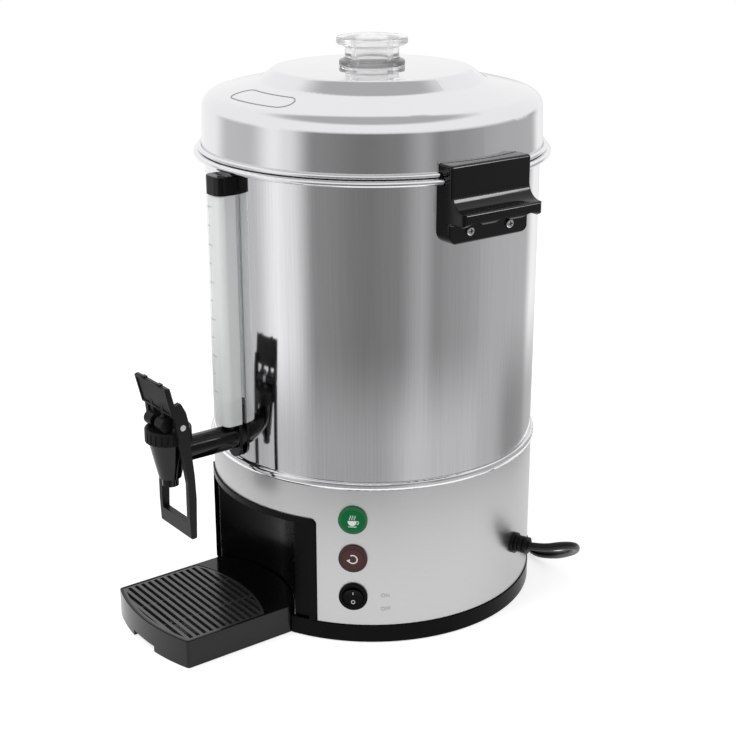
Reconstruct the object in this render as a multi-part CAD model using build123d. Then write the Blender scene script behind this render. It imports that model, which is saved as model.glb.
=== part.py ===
from build123d import *

import math
import os

# Percolating coffee urn: polished tank on a skirted base, clear-knobbed lid, push-lever faucet
# with a level gauge, drip tray in a niche, two side handles, and the percolator set inside.
# Frame: millimetres, +Z up, origin on the tank's axis at the floor, the faucet towards -Y.
# An azimuth is counted in degrees from -Y towards +X. A radial distance is from the tank's axis.

# ---------------------------------------------------------------- driving dimensions: shared
SHEET = 0.8            # stainless sheet of tank, skirt, lid and basket
RUN = 0.05             # radial running clearance of pins and stems
PLAY = 0.1             # gap between pieces that are fixed together
LIFT_GAP = 0.3         # gap between pieces that lift or slide apart

# ---------------------------------------------------------------- driving dimensions: tank and base
TANK_R = 140.0         # outer radius of the tank wall
KNOB_TOP_Z = 480.5     # overall height, to the top of the lid's knob
FLANGE_W = 6.5         # rim flange beyond the wall
TANK_BEAD_R = 2.5      # rolled wire bead under the flange
FLOOR_RISE = 9.0       # top of the tank floor above the skirt's top
FLOOR_T = 1.0          # thickness of the floor
WELL_R = 25.0          # pump well in the floor
WELL_DEPTH = 10.0
TUCK = 10.0            # reach of the tank wall down inside the skirt
SKIRT_TOP_Z = 138.0
SKIRT_GAP = 0.2        # between tank wall and skirt
BAND_H = 7.0           # rolled band over the joint of tank and skirt
BAND_DEPTH = 3.0
RING_TOP_Z = 16.4      # black base ring
RING_LOW_Z = 1.0
RING_PROUD = 1.0       # beyond the skirt
RING_WALL = 4.0
RING_FLANGE_W = 26.0   # width of its bottom flange, from the outside
RING_FLANGE_T = 3.0
GROOVE_DEPTH = 4.0     # how deep the skirt stands in the ring
COVER_T = 1.2          # bottom cover plate
COVER_INSET = 16.0     # its edge inside the tank wall
COVER_SCREW_R = 1.7
COVER_SCREW_COUNT = 5
FOOT_STRIP_W = 9.0     # rubber strip under the ring
FOOT_INSET = 11.0      # its middle inside the ring's outside
FOOT_PLUG_R = 3.5
FOOT_PLUG_AZIMUTHS = (50.0, 130.0, 230.0, 310.0)
STUD_R = 3.0           # stud that draws the base up to the tank
STUD_NUT_R = 6.0

# ---------------------------------------------------------------- driving dimensions: niche and tray
NICHE_HALF = 79.0      # half width over the raised frame
NICHE_DROP = 29.0      # top of the raised frame below the skirt's top
NICHE_CORNER = 4.0
RIDGE_W = 5.0          # raised frame
RIDGE_PROUD = 1.5
BAND_SINK = 2.4        # sunk band inside the frame, below the skirt's face
PANEL_T = 2.2          # wall of the moulding
CEILING_DROP = 6.0     # ceiling of the recess below the top of the frame
RECESS_OUT = 72.0      # the round recess's axis beyond the tank wall
RECESS_R = 105.0
TRAY_HALF = 57.5       # half width of the tray
TRAY_GAP = 1.0         # clearance beside and behind the tray
TRAY_TOP_Z = 25.0
TRAY_LOW_Z = 0.6
TRAY_REACH = 99.0      # apex of the tray's front beyond the tank wall
TRAY_FRONT_R = 170.0
TRAY_CORNER = 3.0
TRAY_EDGE = 0.8        # its rounded top edge
TRAY_WALL = 2.5
GRATE_REAR_OUT = 1.0   # apex of the rear lip beyond the tank wall
GRATE_REAR_R = 127.0
GRATE_T = 3.6
GRATE_RIM = 2.2
GRATE_DOWN = 0.4       # grate top below the tray's top
GRATE_LEDGE = 2.0      # ledge that carries the grate
BAR_PITCH = 6.3
BAR_W = 3.0
RIB_W = 2.4
RIB_PLACE = 19.0
NOTCH_HALF = 17.0      # finger notch under the tray's front
NOTCH_H = 5.0

# ---------------------------------------------------------------- driving dimensions: lid
LID_H = 65.0           # top of the lid above the tank's rim
LID_WALL_OUT = 2.0     # foot of the lid's wall beyond the tank wall
LID_BEAD_R = 1.9
LID_LIP_GAP = 0.6      # locating lip inside the tank
LID_LIP_DEPTH = 7.0    # reach of the lip below the rim
LID_SHOULDER_OUT = 0.6
LID_SHOULDER_DROP = 21.3   # shoulder below the lid's top
LID_SHOULDER_BEND = 12.0
LID_SLOPE_W = 46.6     # from the shoulder in to the foot of the raised centre
LID_STEP_DROP = 10.3   # that foot below the lid's top
LID_STEP_BEND = 9.0
LID_RISE_W = 12.5      # width of the raised centre's wall
LID_CROWN_DROP = 1.1
LID_CROWN_BEND = 6.0
LID_CROWN_W = 35.5     # gently sloped part of the raised centre
LID_NOTCH_HALF = 41.5  # half width of the gap in the lid's bead at each handle
KNOB_FLANGE_R = 27.3
KNOB_FLANGE_H = 4.5
KNOB_NECK_R = 22.4
KNOB_TOP_R = 29.4
KNOB_H = 23.5
KNOB_TOP_H = 5.5
KNOB_WALL = 3.2
SPIGOT_R = 16.0        # threaded spigot through the lid
SPIGOT_WALL = 2.5
SPIGOT_LENGTH = 9.0
KNOB_NUT_R = 22.0
KNOB_NUT_H = 4.0

# ---------------------------------------------------------------- driving dimensions: handles
HANDLE_AZIMUTHS = {"handle_right": 90.0, "handle_left": 270.0}
HANDLE_HALF = 40.0
HANDLE_DROP = 51.0     # foot of the handle below the tank's rim
HANDLE_RISE = 10.5     # its top above the rim
HANDLE_T = 11.5        # upper face beyond the tank wall
HANDLE_FOOT_T = 10.0   # lower face beyond the tank wall
LEDGE_REACH = 15.5     # finger ledge beyond the upper face
LEDGE_DROP = 23.5      # top of the ledge below the rim
LEDGE_T = 11.0
LEDGE_FILLET = 13.0
LEDGE_ROUND = 4.5      # lower front edge of the ledge
HANDLE_CORNER = 9.0
HANDLE_EDGE = 2.0      # rounding along the handle's two sides
SCALLOP_R = 13.0
SCALLOP_DEPTH = 3.2
SCALLOP_PITCH = 28.0
HANDLE_SCREW_PITCH = 40.0
HANDLE_SCREW_DROP = 7.0    # screws below the ledge
SCREW_R = 2.0
SCREW_HEAD_R = 3.6
SCREW_HEAD_H = 2.2
BRACKET_DEPTH = 6.0    # weld bracket behind each handle
BRACKET_HALF = 28.0
BRACKET_H = 10.0

# ---------------------------------------------------------------- driving dimensions: faucet
FAUCET_REACH = 65.7    # the faucet's axis beyond the tank wall
SHANK_RISE = 17.0      # the shank's axis above the tank floor
SHANK_R = 10.5
SHANK_BORE_R = 5.5
SHOULDER_OUT = 6.0     # where the shank steps down to its neck, beyond the tank wall
NECK_R = 7.0
NECK_REACH = 13.0      # the neck's end inside the tank wall
TIP_DROP = 27.5        # spout below the shank's axis
TIP_R = 6.8
TIP_H = 6.5
CONE_LOW_R = 9.2
CONE_RISE = 12.0       # top of the cone above the shank's axis
CONE_TOP_R = 16.4
COLLAR_R = 14.0        # threaded collar under the bonnet
COLLAR_H = 6.0
OUTLET_R = 5.0
SEAT_DROP = 14.0       # valve seat below the shank's axis
CHAMBER_R = 9.0
BONNET_R = 19.0
BONNET_GAP = 1.0       # between the collar and the bonnet's plate
BONNET_PLATE = 4.5
BONNET_RIBS = 24
PIN_RISE = 6.0         # lever pin above the bonnet
PIN_R = 2.5
STEM_R = 3.0
EYE_R = 5.0
EYE_HALF = 2.5
SLOT_GAP = 0.7         # between the stem's eye and the lever's slot
CUP_R = 7.0            # silicone seat cup
CUP_H = 8.0
SPRING_R = 5.6
WIRE_R = 0.45
SPRING_TURNS = 6
LEVER_HALF = 24.5
ARM_W = 4.5
HEEL_OUT = 8.0         # eccentric heel of the lever
HEEL_HALF = 14.0
HUB_R = 4.5
LOOP_DROP = 98.5       # foot of the cup loop below the pin
LOOP_BAR_H = 13.0
PADDLE_RISE = 35.5     # top of the paddle above the pin
PADDLE_T = 4.0
SHANK_NUT_R = 12.0
SHANK_NUT_T = 5.0
GASKET_R = 10.0
GASKET_T = 1.0

# ---------------------------------------------------------------- driving dimensions: gauge
TUBE_OUT = 8.2         # the gauge tube's axis beyond the tank wall
TUBE_R = 5.0
TUBE_WALL = 1.2
TUBE_RISE = 12.0       # the tube's foot above the shank's axis
TUBE_GRIP = 6.0        # reach of the tube into the cap
SHIELD_HALF = 10.5
SHIELD_DEPTH = 17.0    # front of the shield beyond the tank wall
SHIELD_WALL = 2.0
SHIELD_CORNER = 6.0
SHIELD_RISE = 1.0      # foot of the shield above the foot block's
CAP_DROP = 7.0         # top of the cap below the tank's rim
CAP_H = 15.0
CAP_WALL = 0.9         # cap beyond the shield's sides and front
CAP_EDGE = 0.8         # its rounded top edge
CAP_GRIP = 2.0         # depth of the shield in the cap
FOOT_H = 16.0          # clear block that holds the tube's foot
TONGUE_GAP = 1.0       # tongue above the joint band
TONGUE_HALF = 10.0
TONGUE_T = 3.0
SEAL_R = 6.0
SEAL_DROP = 0.8        # lower seal's foot below the tube's
SEAL_H = 8.0
GAUGE_STUD_R = 2.0

# ---------------------------------------------------------------- driving dimensions: lamps and switch
LAMP_AZIMUTH = 46.6
READY_DROP = 25.9      # ready lamp below the skirt's top
LAMP_PITCH = 34.5
SWITCH_PITCH = 34.8
BEZEL_W = 2.0          # bezel beyond the barrel
BEZEL_PROUD = 1.8
BARREL_WALL = 0.7      # barrel beyond the lens
BARREL_DEPTH = 22.0
LENS_R = 9.3
LENS_DEPTH = 3.0
LENS_PROUD = 0.5
ROCKER_INSET = 1.0     # rocker smaller than a lens
ROCKER_GAP = 0.8
ROCKER_TILT = 7.0
PIVOT_R = 1.2          # rocker's pivot pins
PIVOT_DEPTH = 4.0      # their axis below the bezel's face
PIVOT_SHORT = 0.2      # their ends inside the barrel's outside
CLIP_W = 2.5
CLIP_T = 3.0

# ---------------------------------------------------------------- driving dimensions: heater and wiring
HEATER_WELL_GAP = 15.0 # plate's hole beyond the pump well
HEATER_INSET = 30.0    # plate's edge inside the tank wall
HEATER_T = 4.0
BREW_ELEMENT_INSET = 26.0  # brewing element inside the plate's edge
WARM_ELEMENT_OUT = 16.0    # warming element outside the plate's hole
ELEMENT_TUBE_R = 4.0
ELEMENT_GAP = 24.0     # between an element's two ends
ELEMENT_DROP = 14.0    # its ends below the ring
HEATER_PART_GAP = 1.0  # thermostat and cut-out beside the elements
THERMOSTAT_R = 9.0
THERMOSTAT_H = 12.0
CUTOUT_R = 4.0
CUTOUT_LENGTH = 18.0
CUTOUT_AZIMUTH = 240.0
BLOCK_LENGTH = 42.0
BLOCK_W = 20.0
BLOCK_H = 16.0
BLOCK_INSET = 8.0      # terminal block inside the skirt
BLOCK_RISE = 14.0      # its foot above the cord's outlet
BLOCK_TURN = 40.0      # its azimuth beyond the cord's outlet
WIRE_SLEEVE_R = 1.6
WIRE_BEND = 8.0
WIRE_INSET = 40.0      # wires inside the tank wall
WIRE_PITCH = 8.0
WIRE_STEP = 6.0        # from one wire's height to the next

# ---------------------------------------------------------------- driving dimensions: percolator
PUMP_R = 6.0           # pump tube
PUMP_WALL = 1.0
PUMP_DROP = 11.5       # top of the pump tube below the lid's top
PUMP_BASE_GAP = 1.0    # between the pump's base and its well
PUMP_BASE_H = 13.0
PUMP_BASE_WALL = 1.5
VALVE_R = 10.0
VALVE_T = 1.2
VALVE_TRAVEL = 3.0
BASKET_INSET = 35.0    # basket inside the tank wall
BASKET_DROP = 107.0    # its floor below the tank's rim
BASKET_H = 80.0
BASKET_BEAD_R = 1.2
SLEEVE_R = 9.0
SLEEVE_WALL = 1.5
COLLAR_T = 6.0         # collar on the pump tube that carries the basket
SPREADER_DEPTH = 5.0
PERFORATION_R = 1.6
PERFORATION_RINGS = 3

# ---------------------------------------------------------------- driving dimensions: cord
CORD_R = 3.5
RELIEF_AZIMUTH = 113.0
RELIEF_Z = 58.0
RELIEF_FLANGE_R = 9.0
RELIEF_FLANGE_T = 3.0
RELIEF_ROOT_R = 6.4
RELIEF_TIP_R = 4.8
RELIEF_LENGTH = 15.0   # boot beyond the skirt
RELIEF_RIBS = 3
RELIEF_RIB_W = 2.4
RELIEF_RIB_PROUD = 0.9
RELIEF_NECK_R = 7.0
COIL_MEAN_R = 42.0
COIL_BUNDLE_R = 7.2
COIL_CENTRE = (-128.0, 184.0)
TIE_AZIMUTH = 300.0
TIE_W = 8.0
TIE_T = 1.5
PLUG_LENGTH = 36.0
PLUG_HALF_W = 13.0
PLUG_HALF_H = 9.0
BLADE_LENGTH = 17.0
BLADE_W = 6.3
BLADE_T = 1.5
BLADE_PITCH = 12.7

# ---------------------------------------------------------------- derived places
LID_TOP_Z = KNOB_TOP_Z - KNOB_H
RIM_Z = LID_TOP_Z - LID_H
FLOOR_Z = SKIRT_TOP_Z + FLOOR_RISE
SKIRT_IN_R = TANK_R + SKIRT_GAP
SKIRT_R = SKIRT_IN_R + SHEET
SKIRT_LOW_Z = RING_TOP_Z - GROOVE_DEPTH
TANK_IN_R = TANK_R - SHEET
BEAD_CENTRE = (TANK_R + FLANGE_W, RIM_Z - TANK_BEAD_R)
RING_R = SKIRT_R + RING_PROUD
COVER_R = TANK_R - COVER_INSET
COVER_Z = RING_LOW_Z + RING_FLANGE_T
WELL_UNDER_Z = FLOOR_Z - WELL_DEPTH - FLOOR_T
HEATER_LOW_Z = FLOOR_Z - FLOOR_T - HEATER_T
HEATER_IN_R = WELL_R + HEATER_WELL_GAP
HEATER_OUT_R = TANK_R - HEATER_INSET
BREW_ELEMENT_R = HEATER_OUT_R - BREW_ELEMENT_INSET
WARM_ELEMENT_R = HEATER_IN_R + WARM_ELEMENT_OUT
NICHE_TOP_Z = SKIRT_TOP_Z - NICHE_DROP
RECESS_AXIS = TANK_R + RECESS_OUT
TRAY_FRONT = TANK_R + TRAY_REACH
GRATE_REAR = TANK_R + GRATE_REAR_OUT
SUNK_R = SKIRT_R - BAND_SINK
CEILING_Z = NICHE_TOP_Z - CEILING_DROP
TRAY_REAR_R = RECESS_R - TRAY_GAP
RING_GAP_HALF = TRAY_HALF + TRAY_GAP
GRATE_TOP_Z = TRAY_TOP_Z - GRATE_DOWN
GRATE_LOW_Z = GRATE_TOP_Z - GRATE_T
TRAY_LIP = TRAY_WALL - 0.5
LID_WALL_R = TANK_R + LID_WALL_OUT
LID_LIP_R = TANK_IN_R - LID_LIP_GAP
LID_SHOULDER_R = TANK_R + LID_SHOULDER_OUT
LID_SHOULDER_Z = LID_TOP_Z - LID_SHOULDER_DROP
LID_STEP_R = LID_SHOULDER_R - LID_SLOPE_W
LID_STEP_Z = LID_TOP_Z - LID_STEP_DROP
LID_CROWN_R = LID_STEP_R - LID_RISE_W
LID_CROWN_Z = LID_TOP_Z - LID_CROWN_DROP
LID_FLAT_R = LID_CROWN_R - LID_CROWN_W
LID_BEAD_Z = RIM_Z + LIFT_GAP + LID_BEAD_R
LID_BEAD_CENTRE_R = LID_WALL_R + LID_BEAD_R - 0.2
LID_UNDER_Z = LID_TOP_Z - SHEET
HANDLE_LOW_Z = RIM_Z - HANDLE_DROP
HANDLE_TOP_Z = RIM_Z + HANDLE_RISE
HANDLE_FACE = TANK_R + HANDLE_T
HANDLE_FOOT_FACE = TANK_R + HANDLE_FOOT_T
LEDGE_OUT = HANDLE_FACE + LEDGE_REACH
LEDGE_TOP_Z = RIM_Z - LEDGE_DROP
LEDGE_LOW_Z = LEDGE_TOP_Z - LEDGE_T
HANDLE_SCREW_Z = LEDGE_LOW_Z - HANDLE_SCREW_DROP
BRACKET_OUT = TANK_R + BRACKET_DEPTH
FAUCET_R = TANK_R + FAUCET_REACH
SHANK_Z = FLOOR_Z + SHANK_RISE
SHOULDER = TANK_R + SHOULDER_OUT
NECK_END = TANK_R - NECK_REACH
TIP_Z = SHANK_Z - TIP_DROP
CONE_LOW_Z = TIP_Z + TIP_H
CONE_TOP_Z = SHANK_Z + CONE_RISE
SEAT_Z = SHANK_Z - SEAT_DROP
FAUCET_TOP_Z = CONE_TOP_Z + COLLAR_H
BONNET_UNDER_Z = FAUCET_TOP_Z + BONNET_GAP
BONNET_TOP_Z = BONNET_UNDER_Z + BONNET_PLATE
PIN_Z = BONNET_TOP_Z + PIN_RISE
LOOP_LOW_Z = PIN_Z - LOOP_DROP
PADDLE_TOP_Z = PIN_Z + PADDLE_RISE
HEEL_R = PIN_Z - BONNET_TOP_Z - RUN
SLOT_HALF = EYE_HALF + SLOT_GAP
TONGUE_OUT = SHOULDER - GASKET_T
TONGUE_IN = TONGUE_OUT - TONGUE_T
TONGUE_LOW_Z = SKIRT_TOP_Z + BAND_H + TONGUE_GAP
TUBE_AXIS = TANK_R + TUBE_OUT
TUBE_LOW_Z = SHANK_Z + TUBE_RISE
FOOT_LOW_Z = TUBE_LOW_Z
FOOT_TOP_Z = FOOT_LOW_Z + FOOT_H
SEAL_LOW_Z = TUBE_LOW_Z - SEAL_DROP
SHIELD_LOW_Z = FOOT_LOW_Z + SHIELD_RISE
SHIELD_OUT = TANK_R + SHIELD_DEPTH
CAP_TOP_Z = RIM_Z - CAP_DROP
CAP_LOW_Z = CAP_TOP_Z - CAP_H
TUBE_TOP_Z = CAP_LOW_Z + TUBE_GRIP
READY_Z = SKIRT_TOP_Z - READY_DROP
BREW_Z = READY_Z - LAMP_PITCH
SWITCH_Z = BREW_Z - SWITCH_PITCH
BARREL_R = LENS_R + BARREL_WALL
BEZEL_R = BARREL_R + BEZEL_W
ROCKER_R = LENS_R - ROCKER_INSET
PIVOT_AT = SKIRT_R + BEZEL_PROUD - PIVOT_DEPTH
PIVOT_HALF = BARREL_R - PIVOT_SHORT
BLOCK_OUT = SKIRT_IN_R - BLOCK_INSET
BLOCK_LOW_Z = RELIEF_Z + BLOCK_RISE
BLOCK_AZIMUTH = RELIEF_AZIMUTH + BLOCK_TURN
PUMP_TOP_Z = LID_TOP_Z - PUMP_DROP
BASKET_R = TANK_R - BASKET_INSET
BASKET_LOW_Z = RIM_Z - BASKET_DROP
BASKET_TOP_Z = BASKET_LOW_Z + BASKET_H
RELIEF_END = SKIRT_R + RELIEF_LENGTH
PUMP_LOW_Z = FLOOR_Z - WELL_DEPTH + LIFT_GAP
COIL_Z = COIL_BUNDLE_R + TIE_T + PLAY
RADIAL_PLANE = Plane(origin=(0, 0, 0), x_dir=(0, -1, 0), z_dir=(-1, 0, 0))


# ---------------------------------------------------------------- shared shapes
def box_section(near, far, low, high):
    """A rectangle in a section plane, from near to far and from low to high."""
    return Pos((near + far) / 2, (low + high) / 2) * Rectangle(far - near, high - low)


def spun(section):
    """A section drawn as (radius, height) turned once about Z."""
    return revolve(Plane.XZ * section, Axis.Z)


def ring(inner, outer, low, high):
    """A plain ring or, with no inner radius, a disc about Z."""
    return spun(box_section(inner, outer, low, high))


def rod(radius, low, high, x=0.0, y=0.0):
    """An upright round rod."""
    upright = Cylinder(radius, high - low, align=(Align.CENTER, Align.CENTER, Align.MIN))
    return Pos(x, y, low) * upright


def outward_rod(radius, near, far, z, across=0.0):
    """A round rod that points away from the tank at the front."""
    upright = Cylinder(radius, far - near, align=(Align.CENTER, Align.CENTER, Align.MIN))
    return Pos(across, -near, z) * Rot(90, 0, 0) * upright


def across_rod(radius, half_length, radial, z):
    """A round rod along X at the front."""
    return Pos(0, -radial, z) * Rot(0, 90, 0) * Cylinder(radius, 2 * half_length)


def front_box(half_width, near, far, low, high, across=0.0):
    """A box at the front, from one radial distance to another."""
    return Pos(across, -(near + far) / 2, (low + high) / 2) * Box(2 * half_width, far - near, high - low)


def side_profile(section, half_width):
    """A section drawn as (radial distance, height), spread evenly to both sides."""
    return extrude(RADIAL_PLANE * section, amount=half_width, both=True)


def arched(half_width, low, high, corner, near, far):
    """A block at the front whose front view is a rectangle with round top corners."""
    outline = box_section(-half_width, half_width, low, high)
    outline = fillet(outline.vertices().group_by(Axis.Y)[-1], corner)
    return extrude(Plane.XZ.offset(near) * outline, amount=far - near)


def turned(azimuth, shape):
    """A shape made at the front, turned to its azimuth."""
    return Rot(0, 0, azimuth) * shape


def offset_line(points, distance):
    """An open line of points moved to its left by a distance, with sharp corners."""
    moved = []
    for index, here in enumerate(points):
        normals = []
        for first in (index - 1, index):
            if 0 <= first < len(points) - 1:
                run = Vector(points[first + 1]) - Vector(points[first])
                normals.append(Vector(-run.Y, run.X).normalized())
        middle = (normals[0] + normals[-1]).normalized()
        reach = distance / middle.dot(normals[0])
        moved.append((here[0] + middle.X * reach, here[1] + middle.Y * reach))
    return moved


def sheet_section(points, bends, thickness):
    """A bent sheet's section: its face through the points, its thickness to their left."""
    near_radii, far_radii = [], []
    for index, bend in enumerate(bends):
        before = Vector(points[index + 1]) - Vector(points[index])
        after = Vector(points[index + 2]) - Vector(points[index + 1])
        left_turn = before.X * after.Y - before.Y * after.X > 0
        near_radii.append(bend + thickness if left_turn else bend)
        far_radii.append(bend if left_turn else bend + thickness)
    far_points = offset_line(points, thickness)
    near = FilletPolyline(*points, radius=near_radii)
    far = FilletPolyline(*far_points, radius=far_radii)
    ends = [Line(points[0], far_points[0]), Line(points[-1], far_points[-1])]
    return make_face([*near.edges(), *far.edges(), *ends])


def circle_of(count, radius, start=0.0):
    """Points (x, y) spread evenly on a circle."""
    angles = [math.radians(start + 360 * index / count) for index in range(count)]
    return [(radius * math.sin(angle), -radius * math.cos(angle)) for angle in angles]


# ---------------------------------------------------------------- tank and base
def tank():
    wall = sheet_section(
        [(TANK_R, SKIRT_TOP_Z - TUCK), (TANK_R, RIM_Z - SHEET), (BEAD_CENTRE[0], RIM_Z - SHEET)],
        [1.2], SHEET)
    bead = Pos(*BEAD_CENTRE) * Circle(TANK_BEAD_R)
    floor = box_section(WELL_R, TANK_R - SHEET / 2, FLOOR_Z - FLOOR_T, FLOOR_Z)
    well_wall = box_section(WELL_R, WELL_R + FLOOR_T, WELL_UNDER_Z, FLOOR_Z)
    well_floor = box_section(0, WELL_R + FLOOR_T, WELL_UNDER_Z, WELL_UNDER_Z + FLOOR_T)
    body = spun(wall + bead + floor + well_wall + well_floor)
    return body - outward_rod(NECK_R + LIFT_GAP, TANK_R - 10, TANK_R + 10, SHANK_Z)


def joint_band():
    inner = TANK_R + RUN
    section = box_section(inner, TANK_R + BAND_DEPTH, SKIRT_TOP_Z, SKIRT_TOP_Z + BAND_H)
    outer_corners = section.vertices().group_by(Axis.X)[-1]
    return spun(fillet(outer_corners, min(BAND_DEPTH, BAND_H / 2) * 0.9))


def base_skirt():
    wall = ring(SKIRT_IN_R, SKIRT_R, SKIRT_LOW_Z, SKIRT_TOP_Z)
    edge = RIDGE_W / 3
    wall -= arched(NICHE_HALF - edge, 0, NICHE_TOP_Z - edge, NICHE_CORNER - 1, TANK_R / 2, SKIRT_R + 10)
    for z in (READY_Z, BREW_Z, SWITCH_Z):
        wall -= turned(LAMP_AZIMUTH, outward_rod(BARREL_R + PLAY, SKIRT_R - 10, SKIRT_R + 10, z))
    hole = outward_rod(RELIEF_NECK_R + PLAY, SKIRT_R - 10, SKIRT_R + 10, RELIEF_Z)
    return wall - turned(RELIEF_AZIMUTH, hole)


def foot_plug_places():
    radius = RING_R - FOOT_INSET
    return [(radius * math.sin(math.radians(a)), -radius * math.cos(math.radians(a))) for a in FOOT_PLUG_AZIMUTHS]


def cover_screw_places():
    overlap_middle = (RING_R - RING_FLANGE_W + COVER_R) / 2
    return circle_of(COVER_SCREW_COUNT, overlap_middle, 180 / COVER_SCREW_COUNT)


def base_ring():
    wall = box_section(RING_R - RING_WALL, RING_R, RING_LOW_Z, RING_TOP_Z)
    flange = box_section(RING_R - RING_FLANGE_W, RING_R, RING_LOW_Z, COVER_Z)
    top_corner = (wall + flange).vertices().sort_by(lambda v: v.X + v.Y)[-1]
    body = spun(chamfer(top_corner, RING_PROUD * 0.7))
    body -= ring(SKIRT_IN_R - PLAY, SKIRT_R + PLAY, SKIRT_LOW_Z - PLAY, RING_TOP_Z + 1)
    body -= front_box(RING_GAP_HALF, RING_R / 2, RING_R + 5, 0, RING_TOP_Z + 1)
    for x, y in foot_plug_places():
        body -= rod(FOOT_PLUG_R, 0, COVER_Z + 1, x, y)
    for x, y in cover_screw_places():
        body -= rod(COVER_SCREW_R + RUN, 0, COVER_Z + 1, x, y)
        body -= rod(COVER_SCREW_R * 2 + PLAY, 0, COVER_Z - RING_FLANGE_T / 2, x, y)
    return body


def niche_panel():
    inside_r = SUNK_R - PANEL_T
    edge = RIDGE_W / 3
    outside = arched(NICHE_HALF, RING_TOP_Z + PLAY, NICHE_TOP_Z, NICHE_CORNER, TANK_R / 3, SKIRT_R + 10)
    neck = arched(NICHE_HALF - edge - PLAY, RING_TOP_Z + PLAY, NICHE_TOP_Z - edge - PLAY,
                  NICHE_CORNER - 1, TANK_R / 3, SKIRT_R + 10)
    opening = arched(NICHE_HALF - RIDGE_W, 0, NICHE_TOP_Z - RIDGE_W, 1.0, TANK_R / 3, SKIRT_R + 10)
    ridge = outside & ring(SKIRT_R + RUN, SKIRT_R + RIDGE_PROUD, 0, NICHE_TOP_Z + 1)
    jambs = neck & ring(inside_r, SKIRT_R + RIDGE_PROUD, 0, NICHE_TOP_Z + 1)
    sunk = neck & ring(inside_r, SUNK_R, 0, NICHE_TOP_Z + 1)
    bay = rod(RECESS_R + PANEL_T, RING_TOP_Z + PLAY, CEILING_Z + PANEL_T, 0, -RECESS_AXIS)
    bay &= ring(0, SUNK_R, 0, NICHE_TOP_Z)
    apron = rod(RECESS_R + PANEL_T, RING_LOW_Z, RING_TOP_Z + 1, 0, -RECESS_AXIS)
    apron &= front_box(RING_GAP_HALF - LIFT_GAP, 0, SUNK_R, 0, RING_TOP_Z + 1)
    panel = (ridge + jambs) - opening + sunk + bay + apron
    panel -= rod(RECESS_R, 0, CEILING_Z, 0, -RECESS_AXIS)
    return panel


def bottom_cover():
    plate = ring(STUD_R + LIFT_GAP, COVER_R, COVER_Z, COVER_Z + COVER_T)
    plate -= rod(RECESS_R + PANEL_T + TRAY_GAP, 0, COVER_Z + 10, 0, -RECESS_AXIS)
    for x, y in cover_screw_places():
        plate -= rod(COVER_SCREW_R + RUN, 0, COVER_Z + 10, x, y)
    return plate


def foot_strip():
    """A rubber strip under the ring, held by four plugs with swollen heads."""
    middle_r = RING_R - FOOT_INSET
    strip = ring(middle_r - FOOT_STRIP_W / 2, middle_r + FOOT_STRIP_W / 2, 0, RING_LOW_Z)
    strip -= front_box(RING_GAP_HALF + PLAY, RING_R / 2, RING_R + 5, -1, RING_LOW_Z + 1)
    for x, y in foot_plug_places():
        strip += rod(FOOT_PLUG_R, 0, COVER_Z + 2.5, x, y)
        strip += rod(FOOT_PLUG_R * 1.4, COVER_Z, COVER_Z + 2.5, x, y)
    return strip


def bottom_screws():
    head_top = COVER_Z - RING_FLANGE_T / 2
    return [rod(COVER_SCREW_R * 2, head_top - 1.3, head_top, x, y)
            + rod(COVER_SCREW_R, head_top - 1.3, COVER_Z + COVER_T + 4, x, y)
            for x, y in cover_screw_places()]


def base_stud():
    return rod(STUD_R, RING_LOW_Z + 0.5, WELL_UNDER_Z)


def base_nut():
    hexagon = RegularPolygon(STUD_NUT_R, 6) - Circle(STUD_R + RUN)
    return extrude(Pos(0, 0, RING_LOW_Z + 1) * hexagon, amount=COVER_Z - RING_LOW_Z - 1)


# ---------------------------------------------------------------- heater and wiring
def heater_plate():
    return ring(HEATER_IN_R, HEATER_OUT_R, HEATER_LOW_Z, FLOOR_Z - FLOOR_T)


def element(mean_r, terminal_azimuth):
    """A sheathed ring element, open at its terminals, where both ends turn down."""
    middle_z = HEATER_LOW_Z - ELEMENT_TUBE_R - RUN
    half_gap = math.degrees(ELEMENT_GAP / 2 / mean_r)
    section = Plane.XZ * (Pos(mean_r, middle_z) * Circle(ELEMENT_TUBE_R))
    loop = revolve(section, Axis.Z, revolution_arc=360 - 2 * half_gap)
    loop = Rot(0, 0, terminal_azimuth + half_gap - 90) * loop
    for side in (-half_gap, half_gap):
        x, y = circle_of(1, mean_r, terminal_azimuth + side)[0]
        elbow = Pos(x, y, middle_z) * Sphere(ELEMENT_TUBE_R)
        loop += elbow + rod(ELEMENT_TUBE_R, middle_z - ELEMENT_DROP, middle_z, x, y)
    return loop


def brew_element():
    return element(BREW_ELEMENT_R, 180)


def warm_element():
    return element(WARM_ELEMENT_R, 180)


def thermostat():
    x, y = circle_of(1, BREW_ELEMENT_R + ELEMENT_TUBE_R + HEATER_PART_GAP + THERMOSTAT_R, 90)[0]
    return rod(THERMOSTAT_R, HEATER_LOW_Z - THERMOSTAT_H, HEATER_LOW_Z, x, y)


def thermal_cutout():
    low = HEATER_LOW_Z - 2 * CUTOUT_R
    x, y = circle_of(1, WARM_ELEMENT_R - ELEMENT_TUBE_R - HEATER_PART_GAP - CUTOUT_R, CUTOUT_AZIMUTH)[0]
    barrel = Rot(0, 90, 0) * Cylinder(CUTOUT_R - RUN, CUTOUT_LENGTH)
    return Pos(x, y, low + CUTOUT_R) * Rot(0, 0, CUTOUT_AZIMUTH) * barrel


def terminal_block():
    block = front_box(BLOCK_LENGTH / 2, BLOCK_OUT - BLOCK_W, BLOCK_OUT, BLOCK_LOW_Z, BLOCK_LOW_Z + BLOCK_H)
    return turned(BLOCK_AZIMUTH, block)


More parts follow.
